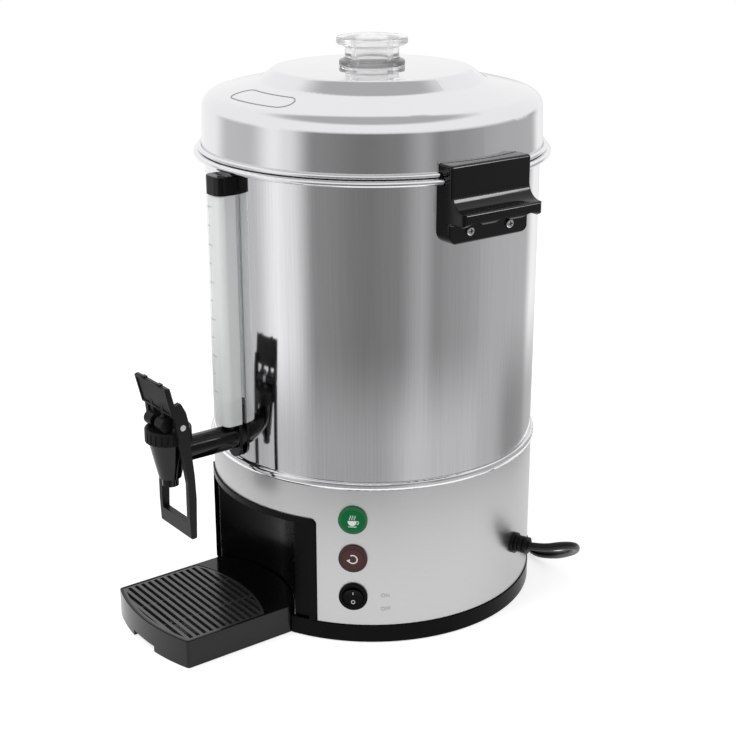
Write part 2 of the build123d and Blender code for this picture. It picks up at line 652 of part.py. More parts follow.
def wire_run(points, radius):
    """A round sleeve along straight runs joined by arcs."""
    line = FilletPolyline(*points, radius=[radius] * (len(points) - 2))
    start = Plane(origin=line @ 0, z_dir=line % 0)
    return sweep(start * Circle(WIRE_SLEEVE_R), path=line)


def wiring():
    block_r = BLOCK_OUT - BLOCK_W - WIRE_SLEEVE_R - PLAY
    middle_z = BLOCK_LOW_Z + BLOCK_H / 2
    pin_low = HEATER_LOW_Z - ELEMENT_TUBE_R - ELEMENT_DROP - WIRE_SLEEVE_R
    inner_r = SKIRT_R - BARREL_DEPTH - WIRE_BEND
    switch_run, brew_run = TANK_R - WIRE_INSET, TANK_R - WIRE_INSET - WIRE_PITCH

    def place(radius, azimuth, z):
        x, y = circle_of(1, radius, azimuth)[0]
        return (x, y, z)

    runs = [
        [place(block_r, BLOCK_AZIMUTH - 6, middle_z), place(BREW_ELEMENT_R, 172, middle_z),
         place(BREW_ELEMENT_R, 172, pin_low)],
        [place(block_r, BLOCK_AZIMUTH, middle_z), place(WARM_ELEMENT_R, 172, middle_z - WIRE_STEP),
         place(WARM_ELEMENT_R, 172, pin_low)],
        [place(block_r, BLOCK_AZIMUTH - 10, middle_z - WIRE_STEP), place(switch_run, 110, middle_z - WIRE_STEP),
         place(switch_run, 75, SWITCH_Z), place(inner_r, LAMP_AZIMUTH, SWITCH_Z)],
        [place(block_r, BLOCK_AZIMUTH - 12, middle_z + WIRE_STEP / 2), place(brew_run, 110, middle_z + WIRE_STEP / 2),
         place(brew_run, 75, BREW_Z), place(inner_r, LAMP_AZIMUTH, BREW_Z)],
    ]
    return [wire_run(points, WIRE_BEND) for points in runs]


# ---------------------------------------------------------------- lamps and switch
def lamp_body(z, bore_r, bore_depth):
    bezel = outward_rod(BEZEL_R, SKIRT_R - 5, SKIRT_R + BEZEL_PROUD, z)
    bezel = bezel - ring(0, SKIRT_R + RUN, z - 2 * BEZEL_R, z + 2 * BEZEL_R)
    body = bezel + outward_rod(BARREL_R, SKIRT_R - BARREL_DEPTH, SKIRT_R + BEZEL_PROUD / 2, z)
    body -= outward_rod(bore_r, SKIRT_R + BEZEL_PROUD - bore_depth, SKIRT_R + BEZEL_PROUD + 5, z)
    return body


def lamp_lens(z):
    back = SKIRT_R + BEZEL_PROUD - LENS_DEPTH
    lens = outward_rod(LENS_R, back, SKIRT_R + BEZEL_PROUD + LENS_PROUD, z)
    return fillet(lens.edges().group_by(Axis.Y)[0], LENS_PROUD * 0.8)


def ready_lamp_body():
    return turned(LAMP_AZIMUTH, lamp_body(READY_Z, LENS_R + RUN, LENS_DEPTH))


def brew_lamp_body():
    return turned(LAMP_AZIMUTH, lamp_body(BREW_Z, LENS_R + RUN, LENS_DEPTH))


def ready_lamp_lens():
    return turned(LAMP_AZIMUTH, lamp_lens(READY_Z))


def brew_lamp_lens():
    return turned(LAMP_AZIMUTH, lamp_lens(BREW_Z))


def lamp_clips():
    out = SKIRT_IN_R - 1.5
    clips = []
    for z in (READY_Z, BREW_Z, SWITCH_Z):
        clip = outward_rod(BARREL_R + CLIP_W, out - CLIP_T, out, z)
        clips.append(turned(LAMP_AZIMUTH, clip - outward_rod(BARREL_R + RUN, 0, TANK_R + 20, z)))
    return clips


def switch_housing():
    depth = BARREL_DEPTH * 0.55
    housing = lamp_body(SWITCH_Z, ROCKER_R + ROCKER_GAP, depth)
    return turned(LAMP_AZIMUTH, housing - across_rod(PIVOT_R + RUN, BARREL_R + 1, PIVOT_AT, SWITCH_Z))


def switch_rocker():
    face = SKIRT_R + BEZEL_PROUD
    pad = outward_rod(ROCKER_R, PIVOT_AT - 1.5, face + 1.0, SWITCH_Z)
    hollow_r = ROCKER_R * 3
    pad -= across_rod(hollow_r, ROCKER_R * 2, face + hollow_r - 0.2, SWITCH_Z)
    pad += across_rod(PIVOT_R, PIVOT_HALF, PIVOT_AT, SWITCH_Z)
    pad = Pos(0, -PIVOT_AT, SWITCH_Z) * Rot(ROCKER_TILT, 0, 0) * Pos(0, PIVOT_AT, -SWITCH_Z) * pad
    return turned(LAMP_AZIMUTH, pad)


# ---------------------------------------------------------------- handles
def handle():
    """One handle as it stands at the front: a wall plate, a lip over the rim and a finger ledge."""
    points = [(TANK_R * 0.88, HANDLE_LOW_Z), (HANDLE_FOOT_FACE, HANDLE_LOW_Z), (HANDLE_FOOT_FACE, LEDGE_LOW_Z),
              (LEDGE_OUT, LEDGE_LOW_Z), (LEDGE_OUT, LEDGE_TOP_Z), (HANDLE_FACE, LEDGE_TOP_Z),
              (HANDLE_FACE, HANDLE_TOP_Z), (TANK_R * 0.88, HANDLE_TOP_Z)]
    section = make_face(Polyline(*points, close=True))
    ledge_fillet = min(LEDGE_FILLET, LEDGE_REACH * 0.84, (HANDLE_TOP_Z - LEDGE_TOP_Z) * 0.8)
    radii = [(points[1], HANDLE_EDGE * 1.2), (points[2], 2.0), (points[3], LEDGE_ROUND),
             (points[4], LEDGE_ROUND / 2), (points[5], ledge_fillet), (points[6], HANDLE_EDGE * 1.2)]
    for point, radius in radii:
        corner = section.vertices().sort_by_distance((point[0], point[1], 0))[0]
        section = fillet(corner, radius)
    front_view = box_section(-HANDLE_HALF, HANDLE_HALF, HANDLE_LOW_Z, HANDLE_TOP_Z)
    front_view = fillet(front_view.vertices().group_by(Axis.Y)[0], HANDLE_CORNER)
    front_view = fillet(front_view.vertices().group_by(Axis.Y)[-1], 2.0)
    plan_view = box_section(-HANDLE_HALF, HANDLE_HALF, -LEDGE_OUT, -TANK_R * 0.85)
    plan_view = fillet(plan_view.vertices().group_by(Axis.Y)[0], 4.0)
    body = side_profile(section, HANDLE_HALF)
    side_edges = [edge for edge in body.edges()
                  if abs(abs(edge.center().X) - HANDLE_HALF) < RUN and -edge.center().Y > TANK_R * 0.9]
    body = fillet(side_edges, HANDLE_EDGE)
    body &= extrude(Plane.XZ.offset(TANK_R * 0.85) * front_view, amount=LEDGE_OUT)
    body &= extrude(Pos(0, 0, HANDLE_LOW_Z - 1) * plan_view, amount=HANDLE_TOP_Z - HANDLE_LOW_Z + 2)
    for across in (-SCALLOP_PITCH, 0, SCALLOP_PITCH):
        centre_z = LEDGE_LOW_Z + SCALLOP_DEPTH - SCALLOP_R
        body -= outward_rod(SCALLOP_R, HANDLE_FACE, LEDGE_OUT + 5, centre_z, across)
    body -= ring(0, TANK_R + LIFT_GAP, HANDLE_LOW_Z - 1, RIM_Z)
    slot_low = RIM_Z - 2 * TANK_BEAD_R - LIFT_GAP
    slot_r = BEAD_CENTRE[0] + TANK_BEAD_R + LIFT_GAP
    body -= ring(0, slot_r, slot_low, RIM_Z + LIFT_GAP)
    body -= ring(0, LID_WALL_R + LIFT_GAP * 2, RIM_Z - 1, HANDLE_TOP_Z + 1)
    bracket_room = front_box(BRACKET_HALF + PLAY, 0, BRACKET_OUT + PLAY, HANDLE_SCREW_Z - BRACKET_H / 2 - PLAY,
                             HANDLE_SCREW_Z + BRACKET_H / 2 + PLAY)
    body -= bracket_room
    for side in (-1, 1):
        body -= outward_rod(SCREW_R + PLAY, TANK_R, LEDGE_OUT, HANDLE_SCREW_Z, side * HANDLE_SCREW_PITCH / 2)
    return body


def handle_screw(across):
    """A pan-head screw with a cross recess, at the front."""
    head = outward_rod(SCREW_HEAD_R, HANDLE_FOOT_FACE, HANDLE_FOOT_FACE + SCREW_HEAD_H, HANDLE_SCREW_Z, across)
    head = fillet(head.edges().group_by(Axis.Y)[0], SCREW_HEAD_H * 0.6)
    shank = outward_rod(SCREW_R, BRACKET_OUT - 3, HANDLE_FOOT_FACE + 0.5, HANDLE_SCREW_Z, across)
    face = HANDLE_FOOT_FACE + SCREW_HEAD_H
    for wide, tall in ((SCREW_HEAD_R * 0.55, 0.45), (0.45, SCREW_HEAD_R * 0.55)):
        head -= front_box(wide, face - 1, face + 1, HANDLE_SCREW_Z - tall, HANDLE_SCREW_Z + tall, across)
    return head + shank


def handle_screws():
    return [turned(azimuth, handle_screw(side * HANDLE_SCREW_PITCH / 2))
            for azimuth in HANDLE_AZIMUTHS.values() for side in (-1, 1)]


def mount_brackets():
    half_h = BRACKET_H / 2
    bracket = front_box(BRACKET_HALF, TANK_R * 0.9, BRACKET_OUT, HANDLE_SCREW_Z - half_h, HANDLE_SCREW_Z + half_h)
    bracket -= ring(0, TANK_R, HANDLE_SCREW_Z - BRACKET_H, HANDLE_SCREW_Z + BRACKET_H)
    for side in (-1, 1):
        bracket -= outward_rod(SCREW_R + RUN, TANK_R - 5, BRACKET_OUT + 1, HANDLE_SCREW_Z,
                               side * HANDLE_SCREW_PITCH / 2)
    stud_z = (TUBE_TOP_Z + CAP_TOP_Z) / 2
    stud = outward_rod(GAUGE_STUD_R, TANK_R - 2, TUBE_AXIS, stud_z)
    stud -= ring(0, TANK_R, stud_z - 10, stud_z + 10)
    return [*(turned(azimuth, bracket) for azimuth in HANDLE_AZIMUTHS.values()), stud]


# ---------------------------------------------------------------- level gauge
def gauge_tube():
    return Pos(0, -TUBE_AXIS, 0) * ring(TUBE_R - TUBE_WALL, TUBE_R, TUBE_LOW_Z, TUBE_TOP_Z)


def gauge_outline(grow, back):
    """Plan of the gauge's shield, drawn outwards by a distance, as far in as a back line."""
    half = SHIELD_HALF + grow
    outline = box_section(-half, half, -SHIELD_OUT - grow, -back)
    return fillet(outline.vertices().group_by(Axis.Y)[0], max(SHIELD_CORNER + grow, 0.4))


def gauge_shield():
    plan = gauge_outline(0, TONGUE_IN) - gauge_outline(-SHIELD_WALL, TONGUE_IN - 1)
    return extrude(Pos(0, 0, SHIELD_LOW_Z) * plan, amount=CAP_LOW_Z + CAP_GRIP - SHIELD_LOW_Z)


def gauge_cap():
    back = TANK_R * 0.96
    cap = extrude(Pos(0, 0, CAP_LOW_Z) * gauge_outline(CAP_WALL, back), amount=CAP_TOP_Z - CAP_LOW_Z)
    cap = fillet(cap.edges().group_by(Axis.Z)[-1], CAP_EDGE)
    cap -= ring(0, TANK_R + LIFT_GAP, CAP_LOW_Z - 1, CAP_TOP_Z + 1)
    cap -= extrude(Pos(0, 0, CAP_LOW_Z - 1) * gauge_outline(PLAY, back), amount=CAP_GRIP + 1)
    cap -= rod(SEAL_R, CAP_LOW_Z, TUBE_TOP_Z, 0, -TUBE_AXIS)
    stud_z = (TUBE_TOP_Z + CAP_TOP_Z) / 2
    return cap - outward_rod(GAUGE_STUD_R + RUN, TANK_R - 2, TUBE_AXIS + PLAY, stud_z)


def gauge_seals():
    lower = ring(TUBE_R, SEAL_R, SEAL_LOW_Z, SEAL_LOW_Z + SEAL_H)
    upper = ring(TUBE_R, SEAL_R, CAP_LOW_Z + CAP_GRIP, TUBE_TOP_Z)
    return [Pos(0, -TUBE_AXIS, 0) * seal for seal in (lower, upper)]


def gauge_foot():
    plan = gauge_outline(-SHIELD_WALL - PLAY, TONGUE_IN)
    block = extrude(Pos(0, 0, FOOT_LOW_Z) * plan, amount=FOOT_TOP_Z - FOOT_LOW_Z)
    block -= rod(SEAL_R, SEAL_LOW_Z, SEAL_LOW_Z + SEAL_H, 0, -TUBE_AXIS)
    return block - rod(TUBE_R + PLAY, FOOT_LOW_Z - 1, FOOT_TOP_Z + 1, 0, -TUBE_AXIS)


def shank_plate():
    """A plate with a round foot on the shank's neck, under the gauge."""
    plate = box_section(-TONGUE_HALF, TONGUE_HALF, TONGUE_LOW_Z, FOOT_LOW_Z - PLAY)
    plate = fillet(plate.vertices().group_by(Axis.Y)[0], TONGUE_HALF * 0.98)
    body = extrude(Plane.XZ.offset(TONGUE_IN) * plate, amount=TONGUE_T)
    body -= rod(SEAL_R, SHANK_Z + GASKET_R, FOOT_LOW_Z, 0, -TUBE_AXIS)
    return body - outward_rod(NECK_R + PLAY, TANK_R - 5, SHOULDER, SHANK_Z)


# ---------------------------------------------------------------- faucet
def at_faucet(shape):
    """A shape made on Z, moved to the faucet's axis."""
    return Pos(0, -FAUCET_R, 0) * shape


def faucet_body():
    outline = Polyline((0, TIP_Z), (TIP_R, TIP_Z), (TIP_R, CONE_LOW_Z), (CONE_LOW_R, CONE_LOW_Z + 0.6),
                       (CONE_TOP_R, CONE_TOP_Z), (COLLAR_R, CONE_TOP_Z), (COLLAR_R, FAUCET_TOP_Z),
                       (0, FAUCET_TOP_Z), close=True)
    body = at_faucet(spun(make_face(outline)))
    body += outward_rod(SHANK_R, SHOULDER, FAUCET_R, SHANK_Z)
    body += outward_rod(NECK_R, NECK_END, SHOULDER + 1, SHANK_Z)
    nipple_r = TUBE_R - TUBE_WALL - PLAY
    boss = rod(SEAL_R - PLAY, SHANK_Z, SEAL_LOW_Z - PLAY, 0, -TUBE_AXIS)
    body += boss & front_box(SEAL_R, SHOULDER, FAUCET_R, SHANK_Z, SEAL_LOW_Z)
    body += rod(nipple_r, SHANK_Z + GASKET_R + PLAY, SEAL_LOW_Z + SEAL_H / 2, 0, -TUBE_AXIS)
    body -= outward_rod(SHANK_BORE_R, NECK_END - 1, FAUCET_R, SHANK_Z)
    body -= rod(nipple_r / 2, SHANK_Z, SEAL_LOW_Z + SEAL_H, 0, -TUBE_AXIS)
    body -= at_faucet(rod(CHAMBER_R, SEAT_Z, FAUCET_TOP_Z + 1))
    return body - at_faucet(rod(OUTLET_R, TIP_Z - 1, SEAT_Z + 1))


def faucet_bonnet():
    section = box_section(STEM_R + RUN, BONNET_R, BONNET_UNDER_Z, BONNET_TOP_Z)
    section += box_section(COLLAR_R + RUN, BONNET_R, CONE_TOP_Z + LIFT_GAP, BONNET_UNDER_Z)
    section = fillet(section.vertices().sort_by(lambda v: v.X + v.Y)[-1], 1.2)
    cap = spun(section)
    for x, y in circle_of(BONNET_RIBS, BONNET_R):
        cap -= rod(0.8, CONE_TOP_Z, BONNET_TOP_Z - 2, x, y)
    return at_faucet(cap)


def faucet_stem():
    rod_low = SEAT_Z + CUP_H / 2
    stem = at_faucet(rod(STEM_R, rod_low, PIN_Z))
    stem += at_faucet(rod(CUP_R - 1, SEAT_Z + CUP_H + RUN, SEAT_Z + CUP_H + 1.5))
    eye = across_rod(EYE_R, EYE_HALF, FAUCET_R, PIN_Z)
    neck = front_box(EYE_HALF, FAUCET_R - STEM_R, FAUCET_R + STEM_R, BONNET_TOP_Z + 3.2, PIN_Z)
    return stem + eye + neck - across_rod(PIN_R, EYE_HALF + 1, FAUCET_R, PIN_Z)


def seat_cup():
    cup = rod(CUP_R, SEAT_Z + RUN, SEAT_Z + CUP_H)
    return at_faucet(cup - rod(STEM_R, SEAT_Z + CUP_H / 2, SEAT_Z + CUP_H + 1))


def faucet_spring():
    low = SEAT_Z + CUP_H + 1.5 + WIRE_R + RUN
    height = BONNET_UNDER_Z - WIRE_R - RUN - low
    coil = Helix(pitch=height / SPRING_TURNS, height=height, radius=SPRING_R)
    section = Plane(origin=coil @ 0, z_dir=coil % 0) * Circle(WIRE_R)
    return at_faucet(Pos(0, 0, low) * sweep(section, path=coil, is_frenet=True))


def lever_pin():
    return across_rod(PIN_R, LEVER_HALF + 0.4, FAUCET_R, PIN_Z)


def faucet_lever():
    """The push lever: two arms beside the faucet, a cup loop below and a paddle above."""
    low, pin = LOOP_LOW_Z, PIN_Z
    drop = pin - low
    arm_points = [(FAUCET_R - 8.5, low), (FAUCET_R - 9.7, low + drop * 0.35), (FAUCET_R - 8.9, low + drop * 0.56),
                  (FAUCET_R - 6.2, pin - 16), (FAUCET_R - 5.6, pin + 3), (FAUCET_R - 3.4, pin + 12.5),
                  (FAUCET_R + 1.0, pin + 21.0), (FAUCET_R + 7.5, pin + 19.0), (FAUCET_R + 5.8, pin),
                  (FAUCET_R + 1.5, pin - 22), (FAUCET_R - 2.6, low + drop * 0.49),
                  (FAUCET_R - 2.4, low + drop * 0.2), (FAUCET_R - 3.2, low)]
    arm = make_face(Polyline(*arm_points, close=True))
    arm = fillet(arm.vertices(), 1.2)
    inner_half = LEVER_HALF - ARM_W
    arms = side_profile(arm, LEVER_HALF) - front_box(inner_half, 0, FAUCET_R * 2, low - 1, PADDLE_TOP_Z)
    bar = side_profile(arm & box_section(0, FAUCET_R * 2, low, low + LOOP_BAR_H), inner_half + 0.5)
    tilt = (PADDLE_TOP_Z - pin) * 0.26
    foot_z = pin + 10.5
    foot = FAUCET_R + 4.2
    head = FAUCET_R + tilt - PADDLE_T / 2 + 3.0
    paddle = make_face(Polyline((foot, foot_z), (foot + PADDLE_T, foot_z), (head + PADDLE_T, PADDLE_TOP_Z),
                                (head, PADDLE_TOP_Z), close=True))
    body = arms + bar + side_profile(fillet(paddle.vertices(), 1.0), LEVER_HALF)
    heel = Pos(FAUCET_R + HEEL_OUT, pin) * Circle(HEEL_R)
    web = box_section(FAUCET_R, FAUCET_R + HEEL_OUT, pin - HEEL_R * 0.6, pin + HEEL_R)
    hub = Pos(FAUCET_R, pin) * Circle(HUB_R)
    body += side_profile(heel + web + hub, HEEL_HALF)
    body += side_profile(hub, inner_half + 0.5)
    rib = make_face(Polyline((FAUCET_R - 2, pin), (FAUCET_R + HEEL_OUT, pin + 2),
                             (head + 1, PADDLE_TOP_Z - 8), (foot + 0.5, foot_z + 3), close=True))
    ribs = side_profile(rib, HEEL_HALF * 0.75) - front_box(HEEL_HALF * 0.45, 0, FAUCET_R * 2, pin, PADDLE_TOP_Z)
    body += ribs
    for side in (-1, 1):
        body += Pos(side * LEVER_HALF / 2, -(head + PADDLE_T / 2), PADDLE_TOP_Z - 0.5) * Box(5, PADDLE_T * 0.8, 3)
    body -= front_box(SLOT_HALF, FAUCET_R - 10, FAUCET_R + 40, BONNET_UNDER_Z, foot_z - 1)
    return body - across_rod(PIN_R + RUN, LEVER_HALF + 1, FAUCET_R, pin)


def shank_gaskets():
    hole = outward_rod(NECK_R + PLAY, NECK_END, SHOULDER + 1, SHANK_Z)
    around_tank = ring(0, TANK_R, SHANK_Z - 20, SHANK_Z + 20)
    inside_tank = ring(0, TANK_IN_R, SHANK_Z - 20, SHANK_Z + 20)
    outer = outward_rod(GASKET_R, TONGUE_OUT, SHOULDER, SHANK_Z) - hole
    middle = outward_rod(GASKET_R, TANK_R - 3, TONGUE_IN, SHANK_Z) - hole - around_tank
    inner = (outward_rod(GASKET_R, TANK_IN_R - 2.5, TANK_R, SHANK_Z) & inside_tank) - hole
    return [outer, middle, inner]


def shank_nut():
    hexagon = RegularPolygon(SHANK_NUT_R, 6) - Circle(NECK_R + RUN)
    out = TANK_IN_R - 2.5
    return extrude(Plane.XZ.offset(out - SHANK_NUT_T) * (Pos(0, SHANK_Z) * hexagon), amount=SHANK_NUT_T)


# ---------------------------------------------------------------- drip tray
def tray_outline(inset):
    """Plan of the tray drawn inwards by an inset: straight sides, round front and round rear."""
    front_axis = TRAY_FRONT - TRAY_FRONT_R
    outline = box_section(-TRAY_HALF + inset, TRAY_HALF - inset, -TRAY_FRONT, -RECESS_AXIS + TRAY_REAR_R + 5)
    outline &= Pos(0, -front_axis) * Circle(TRAY_FRONT_R - inset)
    outline &= Pos(0, -RECESS_AXIS) * Circle(TRAY_REAR_R - inset)
    return fillet(outline.vertices(), max(TRAY_CORNER - inset / 2, 0.8))


def grate_outline(inset):
    """Plan of the grate's seat, drawn inwards from the tray's lip by an inset."""
    rear_axis = GRATE_REAR + GRATE_REAR_R
    outline = tray_outline(TRAY_LIP + inset)
    return outline & (Pos(0, -rear_axis) * Circle(GRATE_REAR_R - inset))


def drip_tray():
    body = extrude(Pos(0, 0, TRAY_LOW_Z) * tray_outline(0), amount=TRAY_TOP_Z - TRAY_LOW_Z)
    body = fillet(body.edges().group_by(Axis.Z)[-1], TRAY_EDGE)
    seat = extrude(Pos(0, 0, GRATE_LOW_Z) * grate_outline(0), amount=TRAY_TOP_Z)
    well = extrude(Pos(0, 0, TRAY_LOW_Z + TRAY_WALL) * grate_outline(GRATE_LEDGE), amount=TRAY_TOP_Z)
    under = tray_outline(TRAY_WALL) - Pos(0, -(GRATE_REAR + GRATE_REAR_R)) * Circle(GRATE_REAR_R + TRAY_WALL)
    room = TRAY_TOP_Z - TRAY_WALL - TRAY_LOW_Z + 1
    body -= extrude(Pos(0, 0, TRAY_LOW_Z - 1) * under, amount=room)
    notch = front_box(NOTCH_HALF, TRAY_FRONT - 5, TRAY_FRONT + 5, 0, NOTCH_H + TRAY_LOW_Z)
    return body - seat - well - notch


def drip_grate():
    plate = grate_outline(PLAY * 4)
    middle = grate_outline(PLAY * 4 + GRATE_RIM)
    slot_w = BAR_PITCH - BAR_W
    count = int((TRAY_FRONT - GRATE_REAR) / BAR_PITCH)
    slots = Sketch()
    for index in range(count):
        place = GRATE_REAR + BAR_PITCH * (index + 0.9)
        slots += Pos(0, -place) * Rectangle(2 * TRAY_HALF, slot_w)
    grate = extrude(Pos(0, 0, GRATE_LOW_Z + RUN) * plate, amount=GRATE_T - RUN)
    grate -= extrude(Pos(0, 0, GRATE_LOW_Z - 1) * (slots & middle), amount=GRATE_T + 2)
    for side in (-1, 1):
        rib = box_section(side * RIB_PLACE - RIB_W / 2, side * RIB_PLACE + RIB_W / 2, -TRAY_FRONT, -GRATE_REAR)
        grate += extrude(Pos(0, 0, GRATE_LOW_Z + RUN) * (rib & plate), amount=GRATE_T / 2)
    return grate


# ---------------------------------------------------------------- lid
def lid():
    cover = sheet_section(
        [(LID_WALL_R, LID_BEAD_Z - LID_BEAD_R / 2), (LID_SHOULDER_R, LID_SHOULDER_Z), (LID_STEP_R, LID_STEP_Z),
         (LID_CROWN_R, LID_CROWN_Z), (LID_FLAT_R, LID_TOP_Z), (SPIGOT_R + PLAY, LID_TOP_Z)],
        [LID_SHOULDER_BEND, LID_STEP_BEND, LID_CROWN_BEND, 60.0], SHEET)
    bead = Pos(LID_BEAD_CENTRE_R, LID_BEAD_Z) * Circle(LID_BEAD_R)
    lip = box_section(LID_LIP_R - SHEET, LID_LIP_R, RIM_Z - LID_LIP_DEPTH, LID_BEAD_Z + SHEET)
    shelf = box_section(LID_LIP_R - SHEET, LID_WALL_R - SHEET / 2, LID_BEAD_Z, LID_BEAD_Z + SHEET)
    shell = spun(cover + bead + lip + shelf)
    for azimuth in HANDLE_AZIMUTHS.values():
        gap = front_box(LID_NOTCH_HALF, TANK_R * 0.8, TANK_R * 1.2, RIM_Z, LID_BEAD_Z + LID_BEAD_R + 1)
        shell -= turned(azimuth, gap - ring(0, LID_WALL_R + PLAY, RIM_Z - 1, LID_SHOULDER_Z))
    return shell


def lid_knob():
    low = LID_TOP_Z
    outer = Polyline((SPIGOT_R, low), (KNOB_FLANGE_R, low), (KNOB_FLANGE_R, low + KNOB_FLANGE_H),
                     (KNOB_NECK_R, low + KNOB_FLANGE_H + 2), (KNOB_NECK_R, KNOB_TOP_Z - KNOB_TOP_H - 2),
                     (KNOB_TOP_R, KNOB_TOP_Z - KNOB_TOP_H), (KNOB_TOP_R, KNOB_TOP_Z), (0, KNOB_TOP_Z),
                     (0, KNOB_TOP_Z - KNOB_WALL), (SPIGOT_R - SPIGOT_WALL, KNOB_TOP_Z - KNOB_WALL),
                     (SPIGOT_R - SPIGOT_WALL, low - SPIGOT_LENGTH), (SPIGOT_R, low - SPIGOT_LENGTH), close=True)
    section = make_face(outer)
    for corner in ((KNOB_FLANGE_R, low + KNOB_FLANGE_H), (KNOB_TOP_R, KNOB_TOP_Z - KNOB_TOP_H),
                   (KNOB_TOP_R, KNOB_TOP_Z), (KNOB_FLANGE_R, low)):
        section = fillet(section.vertices().sort_by_distance((*corner, 0))[0], 1.4)
    for corner in ((KNOB_NECK_R, low + KNOB_FLANGE_H + 2), (KNOB_NECK_R, KNOB_TOP_Z - KNOB_TOP_H - 2)):
        section = fillet(section.vertices().sort_by_distance((*corner, 0))[0], 2.5)
    return spun(section)


def knob_nut():
    return ring(SPIGOT_R + RUN, KNOB_NUT_R, LID_UNDER_Z - KNOB_NUT_H, LID_UNDER_Z)


# ---------------------------------------------------------------- percolator
def pump_tube():
    tube = ring(PUMP_R - PUMP_WALL, PUMP_R, PUMP_LOW_Z + PUMP_BASE_H - 2, PUMP_TOP_Z)
    return tube + ring(PUMP_R - PUMP_WALL, SLEEVE_R + 0.5, BASKET_LOW_Z - COLLAR_T, BASKET_LOW_Z - RUN)


def pump_base():
    low, outer = PUMP_LOW_Z, WELL_R - PUMP_BASE_GAP
    top = low + PUMP_BASE_H
    bell = Polyline((outer, low), (outer, low + 2), (PUMP_R + 6, top), (PUMP_R, top), (PUMP_R, top - 2),
                    (VALVE_R + 1, top - PUMP_BASE_WALL - 2), (outer - PUMP_BASE_WALL, low), close=True)
    base = spun(make_face(bell))
    plate = ring(4, outer - PUMP_BASE_WALL / 2, low, low + 1)
    for x, y in circle_of(6, outer * 0.7):
        plate -= rod(2, low - 1, low + 3, x, y)
    return base + plate


def pump_valve():
    low = PUMP_LOW_Z + 1 + RUN
    return ring(0, VALVE_R, low, low + VALVE_T)


def perforated(plate_in_r, plate_out_r):
    """A sketch of round holes on even rings."""
    holes = Sketch()
    step = (plate_out_r - plate_in_r) / (PERFORATION_RINGS + 1)
    for index in range(PERFORATION_RINGS):
        radius = plate_in_r + step * (index + 1)
        count = int(2 * math.pi * radius / (step * 1.1))
        for x, y in circle_of(count, radius, 7 * index):
            holes += Pos(x, y) * Circle(PERFORATION_R)
    return holes


def basket():
    inner = SLEEVE_R - SLEEVE_WALL
    wall = box_section(BASKET_R - SHEET, BASKET_R, BASKET_LOW_Z, BASKET_TOP_Z)
    floor = box_section(inner, BASKET_R, BASKET_LOW_Z, BASKET_LOW_Z + SHEET)
    sleeve = box_section(inner, SLEEVE_R, BASKET_LOW_Z, BASKET_TOP_Z - SPREADER_DEPTH)
    bead = Pos(BASKET_R - SHEET / 2, BASKET_TOP_Z) * Circle(BASKET_BEAD_R)
    cup = spun(wall + floor + sleeve + bead)
    return cup - extrude(Pos(0, 0, BASKET_LOW_Z - 1) * perforated(SLEEVE_R, BASKET_R), amount=SHEET + 2)


def basket_cover():
    outer = BASKET_R - SHEET / 2 - BASKET_BEAD_R - LIFT_GAP
    low = BASKET_TOP_Z - SPREADER_DEPTH + LIFT_GAP
    dish = box_section(PUMP_R + 1, outer, low, low + SHEET)
    flange_z = BASKET_TOP_Z + BASKET_BEAD_R + RUN
    rim = box_section(outer - SHEET, outer, low, flange_z + SHEET)
    flange = box_section(outer - SHEET, BASKET_R, flange_z, flange_z + SHEET)
    cover = spun(dish + rim + flange)
    return cover - extrude(Pos(0, 0, low - 1) * perforated(PUMP_R + 1, outer), amount=SHEET + 2)


# ---------------------------------------------------------------- cord and plug
def relief_point(beyond_tip, rise):
    x, y = circle_of(1, RELIEF_END + beyond_tip, RELIEF_AZIMUTH)[0]
    return (x, y, RELIEF_Z + rise)


FLOOR_CORD_Z = CORD_R + 0.1
CORD_ROUTE = [
    relief_point(0.0, 0.0), relief_point(13.0, 1.0), (165.3, 79.6, 61.5), (165.1, 95.6, 56.0), (149.5, 112.4, 41.0),
    (128.0, 123.6, 26.0), (105.8, 131.6, 12.4), (79.4, 128.4, 4.6), (52.4, 143.4, FLOOR_CORD_Z),
    (22.0, 161.0, FLOOR_CORD_Z), (-13.2, 165.6, FLOOR_CORD_Z), (-50.0, 161.4, FLOOR_CORD_Z),
    (-86.0, 152.0, FLOOR_CORD_Z), (-118.0, 143.2, FLOOR_CORD_Z),
]


LEAD_Z = COIL_Z + 0.5
LEAD_ROUTE = [(-161.5, 209.3, LEAD_Z), (-149.5, 225.3, LEAD_Z), (-137.4, 241.2, LEAD_Z)]


def plug_place(shape):
    """Moves a shape drawn along +X to the end of the lead, in the lead's own direction."""
    before, end = Vector(LEAD_ROUTE[-2]), Vector(LEAD_ROUTE[-1])
    run = end - before
    return Plane(origin=end, x_dir=run, z_dir=Vector(0, 0, 1).cross(run).cross(run) * -1) * shape


def cord_radii(points):
    """The arc at each corner: as large as its two runs allow."""
    radii = []
    for before, here, after in zip(points, points[1:], points[2:]):
        first, second = Vector(here) - Vector(before), Vector(after) - Vector(here)
        turn = math.radians(first.get_angle(second))
        radii.append(0.45 * min(first.length, second.length) / math.tan(turn / 2))
    return radii


def cord_tube(points):
    line = FilletPolyline(*points, radius=cord_radii(points))
    section = Plane(origin=line @ 0, z_dir=line % 0) * Circle(CORD_R)
    return sweep(section, path=line)


def power_cord():
    return cord_tube(CORD_ROUTE)


def cord_coil():
    x, y = COIL_CENTRE
    return Pos(x, y, COIL_Z) * Torus(COIL_MEAN_R, COIL_BUNDLE_R)


def cord_tie():
    x, y = COIL_CENTRE
    along = Rot(0, 0, TIE_AZIMUTH) * Pos(0, -COIL_MEAN_R, 0) * Rot(0, 90, 0)
    sleeve = Cylinder(COIL_BUNDLE_R + TIE_T, TIE_W)
    return Pos(x, y, COIL_Z) * (along * sleeve - Torus(COIL_MEAN_R, COIL_BUNDLE_R))


